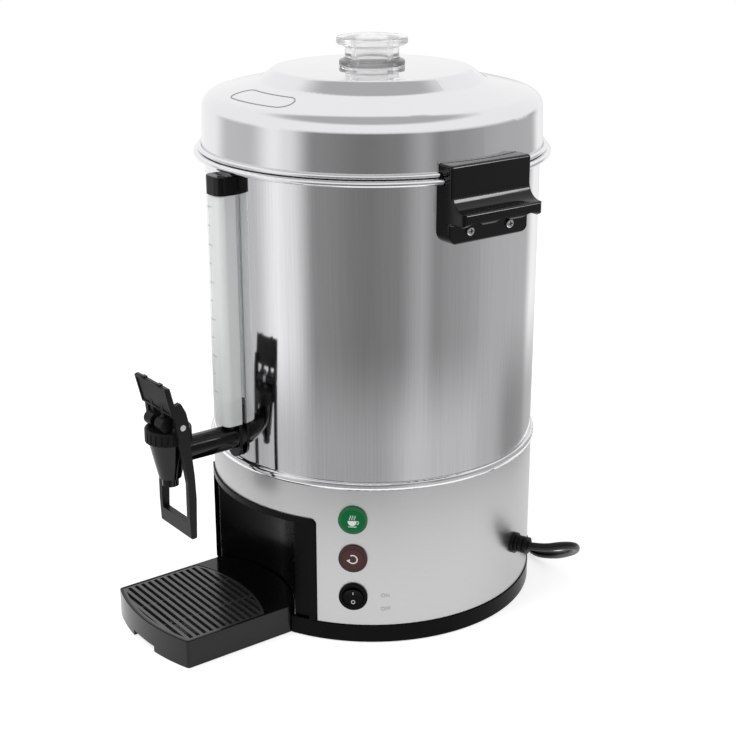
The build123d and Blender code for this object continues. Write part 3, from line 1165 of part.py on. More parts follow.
def plug_lead():
    return cord_tube(LEAD_ROUTE)


def plug_body():
    """The moulded plug: a block with a tapered sleeve, drawn along +X and turned to its heading."""
    outline = RectangleRounded(2 * PLUG_HALF_W, 2 * PLUG_HALF_H, PLUG_HALF_H * 0.45)
    small = RectangleRounded(2 * PLUG_HALF_W * 0.55, 2 * PLUG_HALF_H * 0.8, PLUG_HALF_H * 0.3)
    sleeve = Rot(0, 90, 0) * Cone(CORD_R + 1.2, CORD_R + 2.6, PLUG_LENGTH * 0.4, align=(Align.CENTER, Align.CENTER, Align.MIN))
    side = Plane(origin=(PLUG_LENGTH * 0.4, 0, 0), x_dir=(0, 1, 0), z_dir=(1, 0, 0))
    face = Plane(origin=(PLUG_LENGTH, 0, 0), x_dir=(0, 1, 0), z_dir=(1, 0, 0))
    return plug_place(sleeve + loft([side * small, face * outline]))


def plug_blades():
    """Two flat blades and a round earth pin on the plug's face."""
    blades = [Pos(PLUG_LENGTH + BLADE_LENGTH / 2, side * BLADE_PITCH / 2, 1.5) * Box(BLADE_LENGTH, BLADE_T, BLADE_W)
              for side in (-1, 1)]
    pin = Pos(PLUG_LENGTH, 0, -4.6) * Rot(0, 90, 0) * Cylinder(
        2.4, BLADE_LENGTH + 2, align=(Align.CENTER, Align.CENTER, Align.MIN))
    return [plug_place(blade) for blade in [*blades, pin]]


def strain_relief():
    flange = outward_rod(RELIEF_FLANGE_R, SKIRT_R - 3, SKIRT_R + RELIEF_FLANGE_T, RELIEF_Z)
    flange -= ring(0, SKIRT_R + RUN, RELIEF_Z - 20, RELIEF_Z + 20)
    neck = outward_rod(RELIEF_NECK_R, SKIRT_IN_R - 4, SKIRT_R + 1, RELIEF_Z)
    inner = outward_rod(RELIEF_FLANGE_R, SKIRT_IN_R - 6, SKIRT_IN_R - 2, RELIEF_Z)
    length = RELIEF_END - SKIRT_R
    boot = Pos(0, -SKIRT_R, RELIEF_Z) * Rot(90, 0, 0) * Cone(
        RELIEF_ROOT_R, RELIEF_TIP_R, length, align=(Align.CENTER, Align.CENTER, Align.MIN))
    pitch = (length - RELIEF_FLANGE_T) / RELIEF_RIBS
    for index in range(RELIEF_RIBS):
        near = SKIRT_R + RELIEF_FLANGE_T + pitch * (index + 0.5) - RELIEF_RIB_W / 2
        boot += outward_rod(RELIEF_ROOT_R + RELIEF_RIB_PROUD, near, near + RELIEF_RIB_W, RELIEF_Z)
    return turned(RELIEF_AZIMUTH, flange + neck + inner + boot)


# ---------------------------------------------------------------- all pieces
PIECES = [
    tank, joint_band, base_skirt, base_ring, niche_panel, bottom_cover, foot_strip, bottom_screws, base_stud,
    base_nut, heater_plate, brew_element, warm_element, thermostat, thermal_cutout, terminal_block, wiring,
    ready_lamp_body, brew_lamp_body, ready_lamp_lens, brew_lamp_lens, lamp_clips, switch_housing, switch_rocker,
    handle_screws, mount_brackets, gauge_tube, gauge_shield, gauge_cap, gauge_seals, gauge_foot, shank_plate, faucet_body,
    faucet_bonnet, faucet_stem, seat_cup, faucet_spring, lever_pin, faucet_lever, shank_gaskets, shank_nut,
    drip_tray, drip_grate, lid, lid_knob, knob_nut, pump_tube, pump_base, pump_valve, basket, basket_cover,
    strain_relief, power_cord, cord_coil, cord_tie, plug_lead, plug_body, plug_blades,
]


def main():
    os.makedirs("parts", exist_ok=True)
    for piece in PIECES:
        made = piece()
        shape = Compound(children=made) if isinstance(made, list) else made
        export_step(shape, f"parts/{piece.__name__}.step")
        print(piece.__name__)
    for name, azimuth in HANDLE_AZIMUTHS.items():
        export_step(turned(azimuth, handle()), f"parts/{name}.step")
    print("cord radii", [round(radius, 1) for radius in cord_radii(CORD_ROUTE)])


main()
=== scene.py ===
import logging
import math
from dataclasses import dataclass, field
from enum import Enum

import bmesh
import bpy
from mathutils import Matrix, Vector


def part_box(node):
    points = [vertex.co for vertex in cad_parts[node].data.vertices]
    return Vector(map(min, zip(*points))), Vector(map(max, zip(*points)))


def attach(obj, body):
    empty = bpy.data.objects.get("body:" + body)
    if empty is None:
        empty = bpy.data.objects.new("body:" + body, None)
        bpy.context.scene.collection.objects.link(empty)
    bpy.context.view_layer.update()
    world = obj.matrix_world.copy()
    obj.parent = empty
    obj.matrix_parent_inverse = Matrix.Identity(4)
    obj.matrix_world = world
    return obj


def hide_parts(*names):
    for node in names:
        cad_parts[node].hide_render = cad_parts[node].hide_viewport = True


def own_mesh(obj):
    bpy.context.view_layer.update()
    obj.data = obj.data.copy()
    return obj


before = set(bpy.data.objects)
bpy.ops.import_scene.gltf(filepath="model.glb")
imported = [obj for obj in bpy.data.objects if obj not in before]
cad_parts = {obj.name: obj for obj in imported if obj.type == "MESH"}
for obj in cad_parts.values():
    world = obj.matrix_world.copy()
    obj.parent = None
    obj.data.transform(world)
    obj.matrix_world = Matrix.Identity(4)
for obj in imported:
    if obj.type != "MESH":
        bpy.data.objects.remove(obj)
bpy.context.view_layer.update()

LOG = logging.getLogger("coffee_urn")
MM = 0.001
# Points of a piece that are nearer than this, in metres, are one point, and edges that turn by more
# degrees than this stay sharp.
MERGE_DISTANCE = 1e-7
SHARP_ANGLE = 35.0
POINT = tuple[float, float, float]
PAIR = tuple[float, float]


class Rides(Enum):
    """The moving groups that the dressed pieces belong to."""

    URN = "urn"
    LID = "lid"
    LEVER = "lever"
    ROCKER = "rocker"


# ------------------------------------------------------------------ small helpers
def linear(colour: str) -> tuple[float, float, float, float]:
    """Turns an sRGB hex colour to the linear values that a shader takes.

    Args:
        colour: six hex digits, such as "C8C8CA".

    Returns:
        Red, green and blue in linear light, and an alpha of 1.
    """
    parts = [int(colour[place:place + 2], 16) / 255 for place in (0, 2, 4)]
    light = [part / 12.92 if part <= 0.04045 else ((part + 0.055) / 1.055) ** 2.4 for part in parts]
    return (light[0], light[1], light[2], 1.0)


def add_node(tree: bpy.types.NodeTree, kind: str, inputs: dict | None = None,
             **settings: object) -> bpy.types.Node:
    """Adds one node with its settings and its inputs.

    Args:
        tree: the material's or world's node tree.
        kind: the node's type name.
        inputs: socket name or number, and a value, or another node's output to link from.
        settings: attributes of the node itself.

    Returns:
        The new node.
    """
    node = tree.nodes.new(kind)
    for name, value in settings.items():
        setattr(node, name, value)
    for name, value in (inputs or {}).items():
        if isinstance(value, bpy.types.NodeSocket):
            tree.links.new(value, node.inputs[name])
        else:
            node.inputs[name].default_value = value
    return node


def empty_material(name: str) -> bpy.types.Material:
    """Makes a material without any node.

    Args:
        name: the material's name.

    Returns:
        The material, with an empty node tree.
    """
    material = bpy.data.materials.new(name)
    material.use_nodes = True
    material.node_tree.nodes.clear()
    return material


def mesh_from(name: str, bm: bmesh.types.BMesh) -> bpy.types.Mesh:
    """Turns a modelled shape to mesh data, and frees it.

    Args:
        name: the mesh's name.
        bm: the modelled shape.

    Returns:
        The mesh.
    """
    mesh = bpy.data.meshes.new(name)
    bm.to_mesh(mesh)
    bm.free()
    return mesh


def add_object(name: str, data: bpy.types.ID) -> bpy.types.Object:
    """Makes an object and links it to the scene.

    Args:
        name: the object's name.
        data: its mesh, curve, camera or light.

    Returns:
        The object, at the origin.
    """
    made = bpy.data.objects.new(name, data)
    bpy.context.scene.collection.objects.link(made)
    return made


def around(azimuth: float, radius: float, height: float) -> Vector:
    """A point by its azimuth, counted from the faucet's side, and its distance from the axis.

    Args:
        azimuth: degrees from the faucet's side towards the switch.
        radius: metres from the tank's axis.
        height: metres above the table.

    Returns:
        The point in metres.
    """
    turn = math.radians(azimuth)
    return Vector((radius * math.sin(turn), -radius * math.cos(turn), height))


def facing(azimuth: float, radius: float, height: float) -> Matrix:
    """The place of a flat mark: its X runs along the tangent, its Y upwards, its Z outwards.

    Args:
        azimuth: degrees from the faucet's side towards the switch.
        radius: metres from the tank's axis.
        height: metres above the table.

    Returns:
        The matrix that brings a mark drawn on the XY plane there.
    """
    turn = math.radians(azimuth)
    across = Vector((math.cos(turn), math.sin(turn), 0))
    outward = Vector((math.sin(turn), -math.cos(turn), 0))
    axes = Matrix((across, Vector((0, 0, 1)), outward)).transposed().to_4x4()
    return Matrix.Translation(around(azimuth, radius, height)) @ axes


def piece_from(name: str, bm: bmesh.types.BMesh, finish: bpy.types.Material,
               rides: Rides) -> bpy.types.Object:
    """Makes a modelled shape a finished piece of the urn.

    Args:
        name: the piece's name.
        bm: the modelled shape, with its place in its points.
        finish: its material.
        rides: the group that it moves with.

    Returns:
        The new object, at the origin.
    """
    bmesh.ops.remove_doubles(bm, verts=bm.verts, dist=MERGE_DISTANCE)
    bmesh.ops.recalc_face_normals(bm, faces=bm.faces)
    for face in bm.faces:
        face.smooth = True
    mesh = mesh_from(name, bm)
    mesh.set_sharp_from_angle(angle=math.radians(SHARP_ANGLE))
    mesh.materials.append(finish)
    made = add_object(name, mesh)
    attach(made, rides.value)
    LOG.info("piece %s: %d faces", name, len(mesh.polygons))
    return made


# ------------------------------------------------------------------ flat shapes for marks
def thicken(bm: bmesh.types.BMesh, height: float) -> None:
    """Gives flat faces on the XY plane a height along Z.

    Args:
        bm: the flat shape.
        height: metres along Z.
    """
    raised = bmesh.ops.extrude_face_region(bm, geom=bm.faces[:])
    tops = [item for item in raised["geom"] if isinstance(item, bmesh.types.BMVert)]
    bmesh.ops.translate(bm, verts=tops, vec=(0, 0, height))


def move_flat(bm: bmesh.types.BMesh, across: float, up: float) -> None:
    """Moves a flat shape on the XY plane."""
    bmesh.ops.translate(bm, verts=bm.verts, vec=(across, up, 0))


def flat_rectangle(half_length: float, half_width: float, rows: int = 1) -> bmesh.types.BMesh:
    """A rectangle on the XY plane, round the origin.

    Args:
        half_length: half its size along X.
        half_width: half its size along Y.
        rows: how many faces it has along Y.

    Returns:
        The rectangle.
    """
    bm = bmesh.new()
    bmesh.ops.create_grid(bm, x_segments=1, y_segments=rows, size=1.0)
    bmesh.ops.scale(bm, verts=bm.verts, vec=(half_length, half_width, 1))
    return bm


def flat_disc(radius: float, segments: int = 32) -> bmesh.types.BMesh:
    """A disc on the XY plane, round the origin.

    Args:
        radius: its radius.
        segments: how many sides it has.

    Returns:
        The disc.
    """
    bm = bmesh.new()
    bmesh.ops.create_circle(bm, cap_ends=True, segments=segments, radius=radius)
    return bm


def flat_arc(radius: float, width: float, start: float, turn: float, steps: int) -> bmesh.types.BMesh:
    """A flat bent strip on the XY plane.

    Args:
        radius: its middle line's radius.
        width: its width.
        start: where it starts, in degrees from X.
        turn: how far it goes, in degrees.
        steps: how many faces it has.

    Returns:
        The strip.
    """
    bm = bmesh.new()
    ends = [bm.verts.new((radius + side * width / 2, 0, 0)) for side in (-1, 1)]
    edge = bm.edges.new(ends)
    bmesh.ops.rotate(bm, verts=ends, matrix=Matrix.Rotation(math.radians(start), 3, "Z"))
    bmesh.ops.spin(bm, geom=[*ends, edge], axis=(0, 0, 1), angle=math.radians(turn), steps=steps,
                   use_merge=abs(turn) >= 360)
    return bm


def keep_rim(bm: bmesh.types.BMesh, width: float) -> None:
    """Cuts a flat shape down to a strip along its edge.

    Args:
        bm: the flat shape.
        width: the strip's width.
    """
    rim = bmesh.ops.inset_region(bm, faces=bm.faces[:], thickness=width, use_boundary=True)
    inner = [face for face in bm.faces if face not in rim["faces"]]
    bmesh.ops.delete(bm, geom=inner, context="FACES")


def joined(parts: list[bmesh.types.BMesh]) -> bmesh.types.BMesh:
    """Puts several shapes into one, and frees them.

    Args:
        parts: the shapes.

    Returns:
        One shape with all of them.
    """
    whole = bmesh.new()
    for part in parts:
        mesh = mesh_from("part", part)
        whole.from_mesh(mesh)
        bpy.data.meshes.remove(mesh)
    return whole


# ------------------------------------------------------------------ finishes
@dataclass(frozen=True)
class Finish:
    """What a surface is made of, and how it was made."""

    name: str
    colour: str
    metallic: float = 0.0
    roughness: float = 0.4
    ior: float = 1.5
    transmission: float = 0.0
    speck_mm: tuple[float, float, float] = (1.0, 1.0, 1.0)
    rough_swing: float = 0.0
    bump_mm: float = 0.0
    shade_swing: float = 0.0

    def pattern(self, tree: bpy.types.NodeTree) -> bpy.types.NodeSocket:
        """The fine pattern of the surface, at its real size in millimetres.

        Args:
            tree: the material's node tree.

        Returns:
            A value around one half.
        """
        places = add_node(tree, "ShaderNodeTexCoord")
        sized = add_node(tree, "ShaderNodeMapping", {"Vector": places.outputs["Object"],
                         "Scale": [1 / (size * MM) for size in self.speck_mm]})
        grain = add_node(tree, "ShaderNodeTexNoise", {"Vector": sized.outputs["Vector"], "Scale": 1.0,
                         "Detail": 3.0, "Roughness": 0.55})
        return grain.outputs["Fac"]

    def make(self) -> bpy.types.Material:
        """Builds the material.

        Returns:
            The finished material.
        """
        material = empty_material(self.name)
        tree = material.node_tree
        shader = add_node(tree, "ShaderNodeBsdfPrincipled", {
            "Base Color": linear(self.colour), "Metallic": self.metallic, "Roughness": self.roughness,
            "Transmission Weight": self.transmission})
        if self.metallic == 0:
            shader.inputs["IOR"].default_value = self.ior
        add_node(tree, "ShaderNodeOutputMaterial", {"Surface": shader.outputs["BSDF"]})
        self.dress(tree, shader)
        return material

    def swing(self, tree: bpy.types.NodeTree, grain: bpy.types.NodeSocket, middle: float,
              reach: float) -> bpy.types.NodeSocket:
        """A value that the pattern swings about its middle.

        Args:
            tree: the material's node tree.
            grain: the pattern's output.
            middle: the value's middle.
            reach: how far it swings to either side.

        Returns:
            The value's output.
        """
        ranged = add_node(tree, "ShaderNodeMapRange", {"Value": grain, "From Min": 0.3, "From Max": 0.7,
                          "To Min": middle - reach, "To Max": middle + reach})
        return ranged.outputs["Result"]

    def dress(self, tree: bpy.types.NodeTree, shader: bpy.types.Node) -> None:
        """Lets the pattern vary the roughness, the shade and the surface.

        Args:
            tree: the material's node tree.
            shader: its main shader.
        """
        grain = self.pattern(tree)
        if self.rough_swing:
            rough = self.swing(tree, grain, self.roughness, self.rough_swing)
            tree.links.new(rough, shader.inputs["Roughness"])
        if self.shade_swing:
            shade = self.swing(tree, grain, 1.0, self.shade_swing)
            tone = add_node(tree, "ShaderNodeVectorMath", {0: linear(self.colour)[:3], "Scale": shade},
                            operation="SCALE")
            tree.links.new(tone.outputs["Vector"], shader.inputs["Base Color"])
        if self.bump_mm:
            relief = add_node(tree, "ShaderNodeBump", {"Height": grain, "Strength": 1.0,
                              "Distance": self.bump_mm * MM})
            tree.links.new(relief.outputs["Normal"], shader.inputs["Normal"])


@dataclass(frozen=True)
class SpunFinish(Finish):
    """A metal turned or polished on a lathe: its fine lines run round the urn's axis."""

    line_mm: float = 0.8

    def pattern(self, tree: bpy.types.NodeTree) -> bpy.types.NodeSocket:
        """Lines round the axis: the pattern changes with distance from it and with height.

        Args:
            tree: the material's node tree.

        Returns:
            A value around one half.
        """
        places = add_node(tree, "ShaderNodeTexCoord")
        split = add_node(tree, "ShaderNodeSeparateXYZ", {"Vector": places.outputs["Object"]})
        flat = add_node(tree, "ShaderNodeCombineXYZ", {"X": split.outputs["X"], "Y": split.outputs["Y"]})
        reach = add_node(tree, "ShaderNodeVectorMath", {0: flat.outputs["Vector"]}, operation="LENGTH")
        line = add_node(tree, "ShaderNodeCombineXYZ", {"X": reach.outputs["Value"],
                        "Y": split.outputs["Z"]})
        fine = add_node(tree, "ShaderNodeMapping", {"Vector": line.outputs["Vector"],
                        "Scale": (1 / (self.line_mm * MM), 1 / (self.line_mm * MM), 1.0)})
        grain = add_node(tree, "ShaderNodeTexNoise", {"Vector": fine.outputs["Vector"], "Scale": 1.0,
                         "Detail": 2.0, "Roughness": 0.6})
        return grain.outputs["Fac"]


# Deep-drawn 304 stainless, buffed to a mirror: sharp reflections, with faint upright drawing lines.
POLISHED_STEEL = Finish("polished_stainless", "E8E8EA", metallic=1.0, roughness=0.07,
                        speck_mm=(1.1, 1.1, 90.0), rough_swing=0.025, bump_mm=0.0012, shade_swing=0.035)
# The lid is spun, so its polishing lines run round it.
SPUN_STEEL = SpunFinish("spun_polished_stainless", "E6E6E8", metallic=1.0, roughness=0.10,
                        rough_swing=0.02, line_mm=1.2)
# Satin-rolled stainless: a soft sheen without a picture in it, with a fine level grain.
SATIN_STEEL = Finish("satin_stainless", "BEBEBF", metallic=1.0, roughness=0.34,
                     speck_mm=(14.0, 14.0, 0.35), rough_swing=0.05, bump_mm=0.002, shade_swing=0.03)
# Injection-moulded phenolic and ABS, glossy: deep black under a clear, slightly wavy skin.
GLOSS_BLACK = Finish("moulded_gloss_black_phenolic", "060607", roughness=0.1, ior=1.38,
                     speck_mm=(9.0, 9.0, 9.0), rough_swing=0.03, bump_mm=0.01)
# Satin-moulded ABS of the base ring, the niche and the switch: a deeper black under a softer skin.
DEEP_BLACK = Finish("moulded_deep_black_abs", "050506", roughness=0.24, ior=1.16,
                    speck_mm=(9.0, 9.0, 9.0), rough_swing=0.05, bump_mm=0.015)
# The same plastic from a fine-eroded mould: a dull black with a fine grit.
MATT_BLACK = Finish("moulded_matt_black_abs", "0E0E0F", roughness=0.4, ior=1.3,
                    speck_mm=(0.9, 0.9, 0.9), rough_swing=0.06, bump_mm=0.01)
# The grate's plastic with a satin skin, its base colour raised to a dark grey: painted sheen that stands in
# for the highlights on its bar tops, so its bars look greyer than the tray round them.
GRATE_BLACK_PAINTED_SHEEN = Finish("moulded_satin_black_abs_painted_sheen", "2A2A2B", roughness=0.24, ior=1.6,
                     speck_mm=(0.9, 0.9, 0.9), rough_swing=0.05, bump_mm=0.01)
# Clear polycarbonate, injection-moulded: glass-like, with a little flow waviness.
CLEAR_PLASTIC = Finish("clear_polycarbonate", "FEFEFE", roughness=0.04, ior=1.3, transmission=0.82,
                       speck_mm=(16.0, 16.0, 16.0), bump_mm=0.02)
# The gauge's shield: the same plastic, a little milky from years of steam.
SHIELD_PLASTIC = Finish("pale_clear_polycarbonate", "FAFBFB", roughness=0.12, ior=1.3,
                        transmission=0.5, speck_mm=(16.0, 16.0, 16.0), rough_swing=0.02)
# Drawn acrylic tube: clear and smooth.
CLEAR_TUBE = Finish("drawn_acrylic_tube", "FBFCFC", roughness=0.02, ior=1.35, transmission=1.0,
                    speck_mm=(20.0, 20.0, 60.0), bump_mm=0.01)
# Frosted polycarbonate: milky grey, so light passes but no picture does.
FROSTED = Finish("frosted_polycarbonate", "A9AAAC", roughness=0.38, ior=1.55, transmission=0.55,
                 speck_mm=(0.8, 0.8, 0.8), rough_swing=0.06, bump_mm=0.006)
# Lamp caps moulded from tinted translucent polycarbonate: glossy over a deep body colour.
READY_GREEN = Finish("lamp_green_polycarbonate", "056236", roughness=0.16, ior=1.18,
                     speck_mm=(6.0, 6.0, 6.0), shade_swing=0.06, bump_mm=0.005)
BREW_MAROON = Finish("lamp_maroon_polycarbonate", "42201F", roughness=0.16, ior=1.32,
                     speck_mm=(6.0, 6.0, 6.0), shade_swing=0.06, bump_mm=0.005)
# Their rims, a shade darker and duller, as thick coloured plastic is.
READY_GREEN_RIM = Finish("lamp_green_rim", "0A5E31", roughness=0.22, ior=1.36,
                         speck_mm=(5.0, 5.0, 5.0), rough_swing=0.04)
BREW_MAROON_RIM = Finish("lamp_maroon_rim", "35171B", roughness=0.22, ior=1.36,
                         speck_mm=(5.0, 5.0, 5.0), rough_swing=0.04)
# Pad-printed and screen-printed marks: a thin film of matt ink.
PALE_INK = Finish("pad_printed_pale_ink", "D5DAD6", roughness=0.5, speck_mm=(0.6, 0.6, 0.6),
                  shade_swing=0.05)
WORD_INK = Finish("screen_printed_light_grey_ink", "9C9DA0", roughness=0.5,
                  speck_mm=(0.6, 0.6, 0.6), shade_swing=0.06)
GREY_INK = Finish("screen_printed_grey_ink", "85868A", roughness=0.5, speck_mm=(0.6, 0.6, 0.6),
                  shade_swing=0.06)
# Cord sheath of soft PVC: a low sheen with a faint grain.
CORD_PVC = Finish("soft_pvc_sheath", "0D0D0E", roughness=0.38, ior=1.4, speck_mm=(2.2, 2.2, 2.2),
                  rough_swing=0.07, bump_mm=0.015)
# Moulded rubber: dull, with a fine grit.
RUBBER = Finish("moulded_rubber", "171717", roughness=0.62, ior=1.52, speck_mm=(1.0, 1.0, 1.0),
                rough_swing=0.08, bump_mm=0.02)
# Zinc-plated mild steel: bright but blurred, with a slight mottle.
PLATED_STEEL = Finish("zinc_plated_steel", "A9ABAE", metallic=1.0, roughness=0.33,
                      speck_mm=(2.5, 2.5, 2.5), rough_swing=0.07, shade_swing=0.05)
# Bright chrome on small screws.
CHROME = Finish("chromed_steel", "D4D5D8", metallic=1.0, roughness=0.1, speck_mm=(2.0, 2.0, 2.0),
                rough_swing=0.03)
# Spun aluminium: pale, with fine turning lines round the axis.
SPUN_ALUMINIUM = SpunFinish("spun_aluminium", "C6C8CB", metallic=1.0, roughness=0.3,
                            rough_swing=0.08, bump_mm=0.004, line_mm=0.7)
# Stamped brass with a light tarnish.
BRASS = Finish("stamped_brass", "C2A15C", metallic=1.0, roughness=0.26, speck_mm=(3.0, 3.0, 3.0),
               rough_swing=0.07, shade_swing=0.06)
# Woven glass-fibre sleeve: off-white, with a coarse braid of about a millimetre.
GLASS_SLEEVE = Finish("braided_glass_sleeve", "C9C2B2", roughness=0.75, speck_mm=(0.9, 0.9, 0.9),
                      shade_swing=0.14, bump_mm=0.12)

NODE_FINISHES: dict[Finish, str] = {
    POLISHED_STEEL: "tank joint_band",
    SPUN_STEEL: "lid",
    SATIN_STEEL: "base_skirt mount_brackets",
    GLOSS_BLACK: "handle_right handle_left gauge_cap faucet_body shank_plate drip_tray",
    DEEP_BLACK: "base_ring niche_panel switch_rocker switch_housing",
    MATT_BLACK: "faucet_bonnet faucet_lever strain_relief terminal_block lamp_clips shank_nut",
    GRATE_BLACK_PAINTED_SHEEN: "drip_grate",
    CLEAR_PLASTIC: "lid_knob",
    SHIELD_PLASTIC: "gauge_shield",
    CLEAR_TUBE: "gauge_tube",
    FROSTED: "gauge_foot",
    READY_GREEN: "ready_lamp_lens",
    READY_GREEN_RIM: "ready_lamp_body",
    BREW_MAROON: "brew_lamp_lens",
    BREW_MAROON_RIM: "brew_lamp_body",
    RUBBER: "foot_strip gauge_seals shank_gaskets seat_cup",
    CORD_PVC: "plug_body",
    PLATED_STEEL: """bottom_cover bottom_screws base_stud base_nut brew_element warm_element thermostat
        thermal_cutout faucet_stem faucet_spring knob_nut pump_valve""",
    CHROME: "handle_screws lever_pin",
    SPUN_ALUMINIUM: "heater_plate pump_tube pump_base basket basket_cover",
    BRASS: "plug_blades",
    GLASS_SLEEVE: "wiring",
}


@dataclass
class Wardrobe:
    """Keeps each finish's material and gives the carried-over pieces theirs."""

    materials: dict[str, bpy.types.Material] = field(default_factory=dict)

    def of(self, finish: Finish) -> bpy.types.Material:
        """The finish's material, made once.

        Args:
            finish: the finish.

        Returns:
            Its material.
        """
        if finish.name not in self.materials:
            self.materials[finish.name] = finish.make()
        return self.materials[finish.name]

    def dress_nodes(self) -> None:
        """Gives every carried-over piece its finish."""
        for finish, names in NODE_FINISHES.items():
            for name in names.split():
                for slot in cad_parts[name].material_slots:
                    slot.material = self.of(finish)


# ------------------------------------------------------------------ studio
@dataclass
class Studio:
    """The camera, the pale table, the soft lamps, and the grey cards that the polished steel shows."""

    # The camera: its lens and frame, its place in metres and how it is turned, in degrees.
    focal_px: float = 1479.86
    frame_px: float = 736.0
    sensor_mm: float = 36.0
    eye: POINT = (0.9816, -0.73969, 0.62822)
    tilt: tuple[float, float, float] = (70.5025, 0.0858, 53.1423)
    world_light: float = 0.62
    floor_half: float = 4.0
    floor_glow: float = 0.675
    # The cards round the table, in metres: the fade at their heads, and the other greys near the table.
    card_radius: float = 0.42
    card_foot: float = 0.004
    card_height: float = 0.47
    card_head_fade: float = 0.06
    low_greys_from: float = 0.17
    low_greys_full: float = 0.05
    low_greys_share: float = 0.7
    # The card overhead: it hangs high_reach from a point on the axis high_base above the table.
    high_azimuth: float = 53.0
    high_rise: float = 86.0
    high_reach: float = 1.2
    high_base: float = 0.43
    high_radius: float = 1.15
    high_grey: float = 0.5
    # What the lamps look at, and how far from it the two for the black pieces hang.
    lamp_target: POINT = (0.0, 0.0, 0.22)
    shine_reach: float = 1.9

    def place_camera(self) -> None:
        """Makes the camera and gives it to the scene."""
        data = bpy.data.cameras.new("camera")
        data.sensor_width = self.sensor_mm
        data.sensor_fit = "HORIZONTAL"
        data.lens = self.focal_px / self.frame_px * data.sensor_width
        data.clip_start = 0.05
        camera = add_object("camera", data)
        camera.location = self.eye
        camera.rotation_euler = [math.radians(angle) for angle in self.tilt]
        bpy.context.scene.camera = camera

    def seen_directly(self, tree: bpy.types.NodeTree) -> bpy.types.NodeSocket:
        """One for the camera, for mirrors and through clear pieces, and none for plain light.

        Args:
            tree: the node tree it is for.

        Returns:
            The value's output.
        """
        path = add_node(tree, "ShaderNodeLightPath")
        first = add_node(tree, "ShaderNodeMath", {0: path.outputs["Is Camera Ray"],
                         1: path.outputs["Is Glossy Ray"]}, operation="ADD")
        both = add_node(tree, "ShaderNodeMath", {0: first.outputs["Value"],
                        1: path.outputs["Is Transmission Ray"]}, operation="ADD", use_clamp=True)
        return both.outputs["Value"]

    def light_world(self) -> None:
        """A white surrounding, with a plain even light on the urn."""
        world = bpy.data.worlds.new("studio")
        bpy.context.scene.world = world
        world.use_nodes = True
        tree = world.node_tree
        tree.nodes.clear()
        even = add_node(tree, "ShaderNodeBackground", {"Color": linear("FFFFFF"),
                        "Strength": self.world_light})
        white = add_node(tree, "ShaderNodeBackground", {"Color": linear("FFFFFF"), "Strength": 1.0})
        mixed = add_node(tree, "ShaderNodeMixShader", {0: self.seen_directly(tree),
                         1: even.outputs[0], 2: white.outputs[0]})
        add_node(tree, "ShaderNodeOutputWorld", {"Surface": mixed.outputs[0]})

    def lay_floor(self) -> None:
        """A plain pale table that keeps the urn's soft shadow."""
        bm = flat_rectangle(self.floor_half, self.floor_half)
        floor = add_object("floor", mesh_from("floor", bm))
        material = empty_material("pale_table")
        tree = material.node_tree
        plain = add_node(tree, "ShaderNodeBsdfDiffuse", {"Color": linear("F2F2F2")})
        shaded = add_node(tree, "ShaderNodeBsdfDiffuse", {"Color": linear("C0C0C0")})
        glow = add_node(tree, "ShaderNodeEmission", {"Color": linear("FFFFFF"),
                        "Strength": self.floor_glow})
        seen = add_node(tree, "ShaderNodeAddShader", {0: shaded.outputs[0], 1: glow.outputs[0]})
        mixed = add_node(tree, "ShaderNodeMixShader", {0: self.seen_directly(tree),
                         1: plain.outputs[0], 2: seen.outputs[0]})
        add_node(tree, "ShaderNodeOutputMaterial", {"Surface": mixed.outputs[0]})
        floor.data.materials.append(material)

    def show_in_mirrors_only(self, card: bpy.types.Object) -> None:
        """Keeps a card out of sight and out of the light, apart from its reflection.

        Args:
            card: the card.
        """
        card.visible_camera = False
        card.visible_diffuse = False
        card.visible_transmission = False
        card.visible_shadow = False

    def hang_cards(self) -> None:
        """Grey cards round the table. Only mirrors show them, and they take no light from the urn."""
        bm = bmesh.new()
        foot = bm.verts.new((0, -self.card_radius, self.card_foot))
        head = bm.verts.new((0, -self.card_radius, self.card_height))
        edge = bm.edges.new((foot, head))
        bmesh.ops.spin(bm, geom=[foot, head, edge], axis=(0, 0, 1), angle=math.tau, steps=180,
                       use_merge=True)
        for face in bm.faces:
            face.smooth = True
        cards = add_object("grey_cards", mesh_from("grey_cards", bm))
        cards.data.materials.append(self.card_greys())
        self.show_in_mirrors_only(cards)

    def soft_greys(self, tree: bpy.types.NodeTree, share: bpy.types.NodeSocket,
                   levels: tuple[PAIR, ...]) -> bpy.types.NodeSocket:
        """Greys that run softly into each other round the table.

        Args:
            tree: the material's node tree.
            share: the place round the table, from 0 to 1.
            levels: azimuth in degrees and the grey there, 1 for white.

        Returns:
            The grey's output.
        """
        ramp = add_node(tree, "ShaderNodeValToRGB", {"Fac": share})
        ramp.color_ramp.interpolation = "EASE"
        stops = ramp.color_ramp.elements
        while len(stops) > 1:
            stops.remove(stops[0])
        for index, (azimuth, level) in enumerate(levels):
            place = (azimuth + 180) / 360
            stop = stops[0] if index == 0 else stops.new(place)
            stop.position = place
            stop.color = (level, level, level, 1.0)
        return ramp.outputs["Color"]

    def card_greys(self) -> bpy.types.Material:
        """The cards' greys by azimuth, soft at their feet and heads, on object coordinates.

        Returns:
            The cards' material.
        """
        # Azimuth of each soft grey, in degrees from the faucet's side, and its level, 1 for white.
        levels = ((-180, 1.0), (-130, 0.6), (-95, 1.0), (-58, 1.0), (-40, 0.6), (-21, 0.58), (-3, 1.0),
                  (6, 0.86), (22, 0.27), (50, 0.2), (66, 0.23), (81, 0.42), (90, 0.28), (98, 0.33),
                  (135, 0.48), (165, 0.5), (180, 1.0))
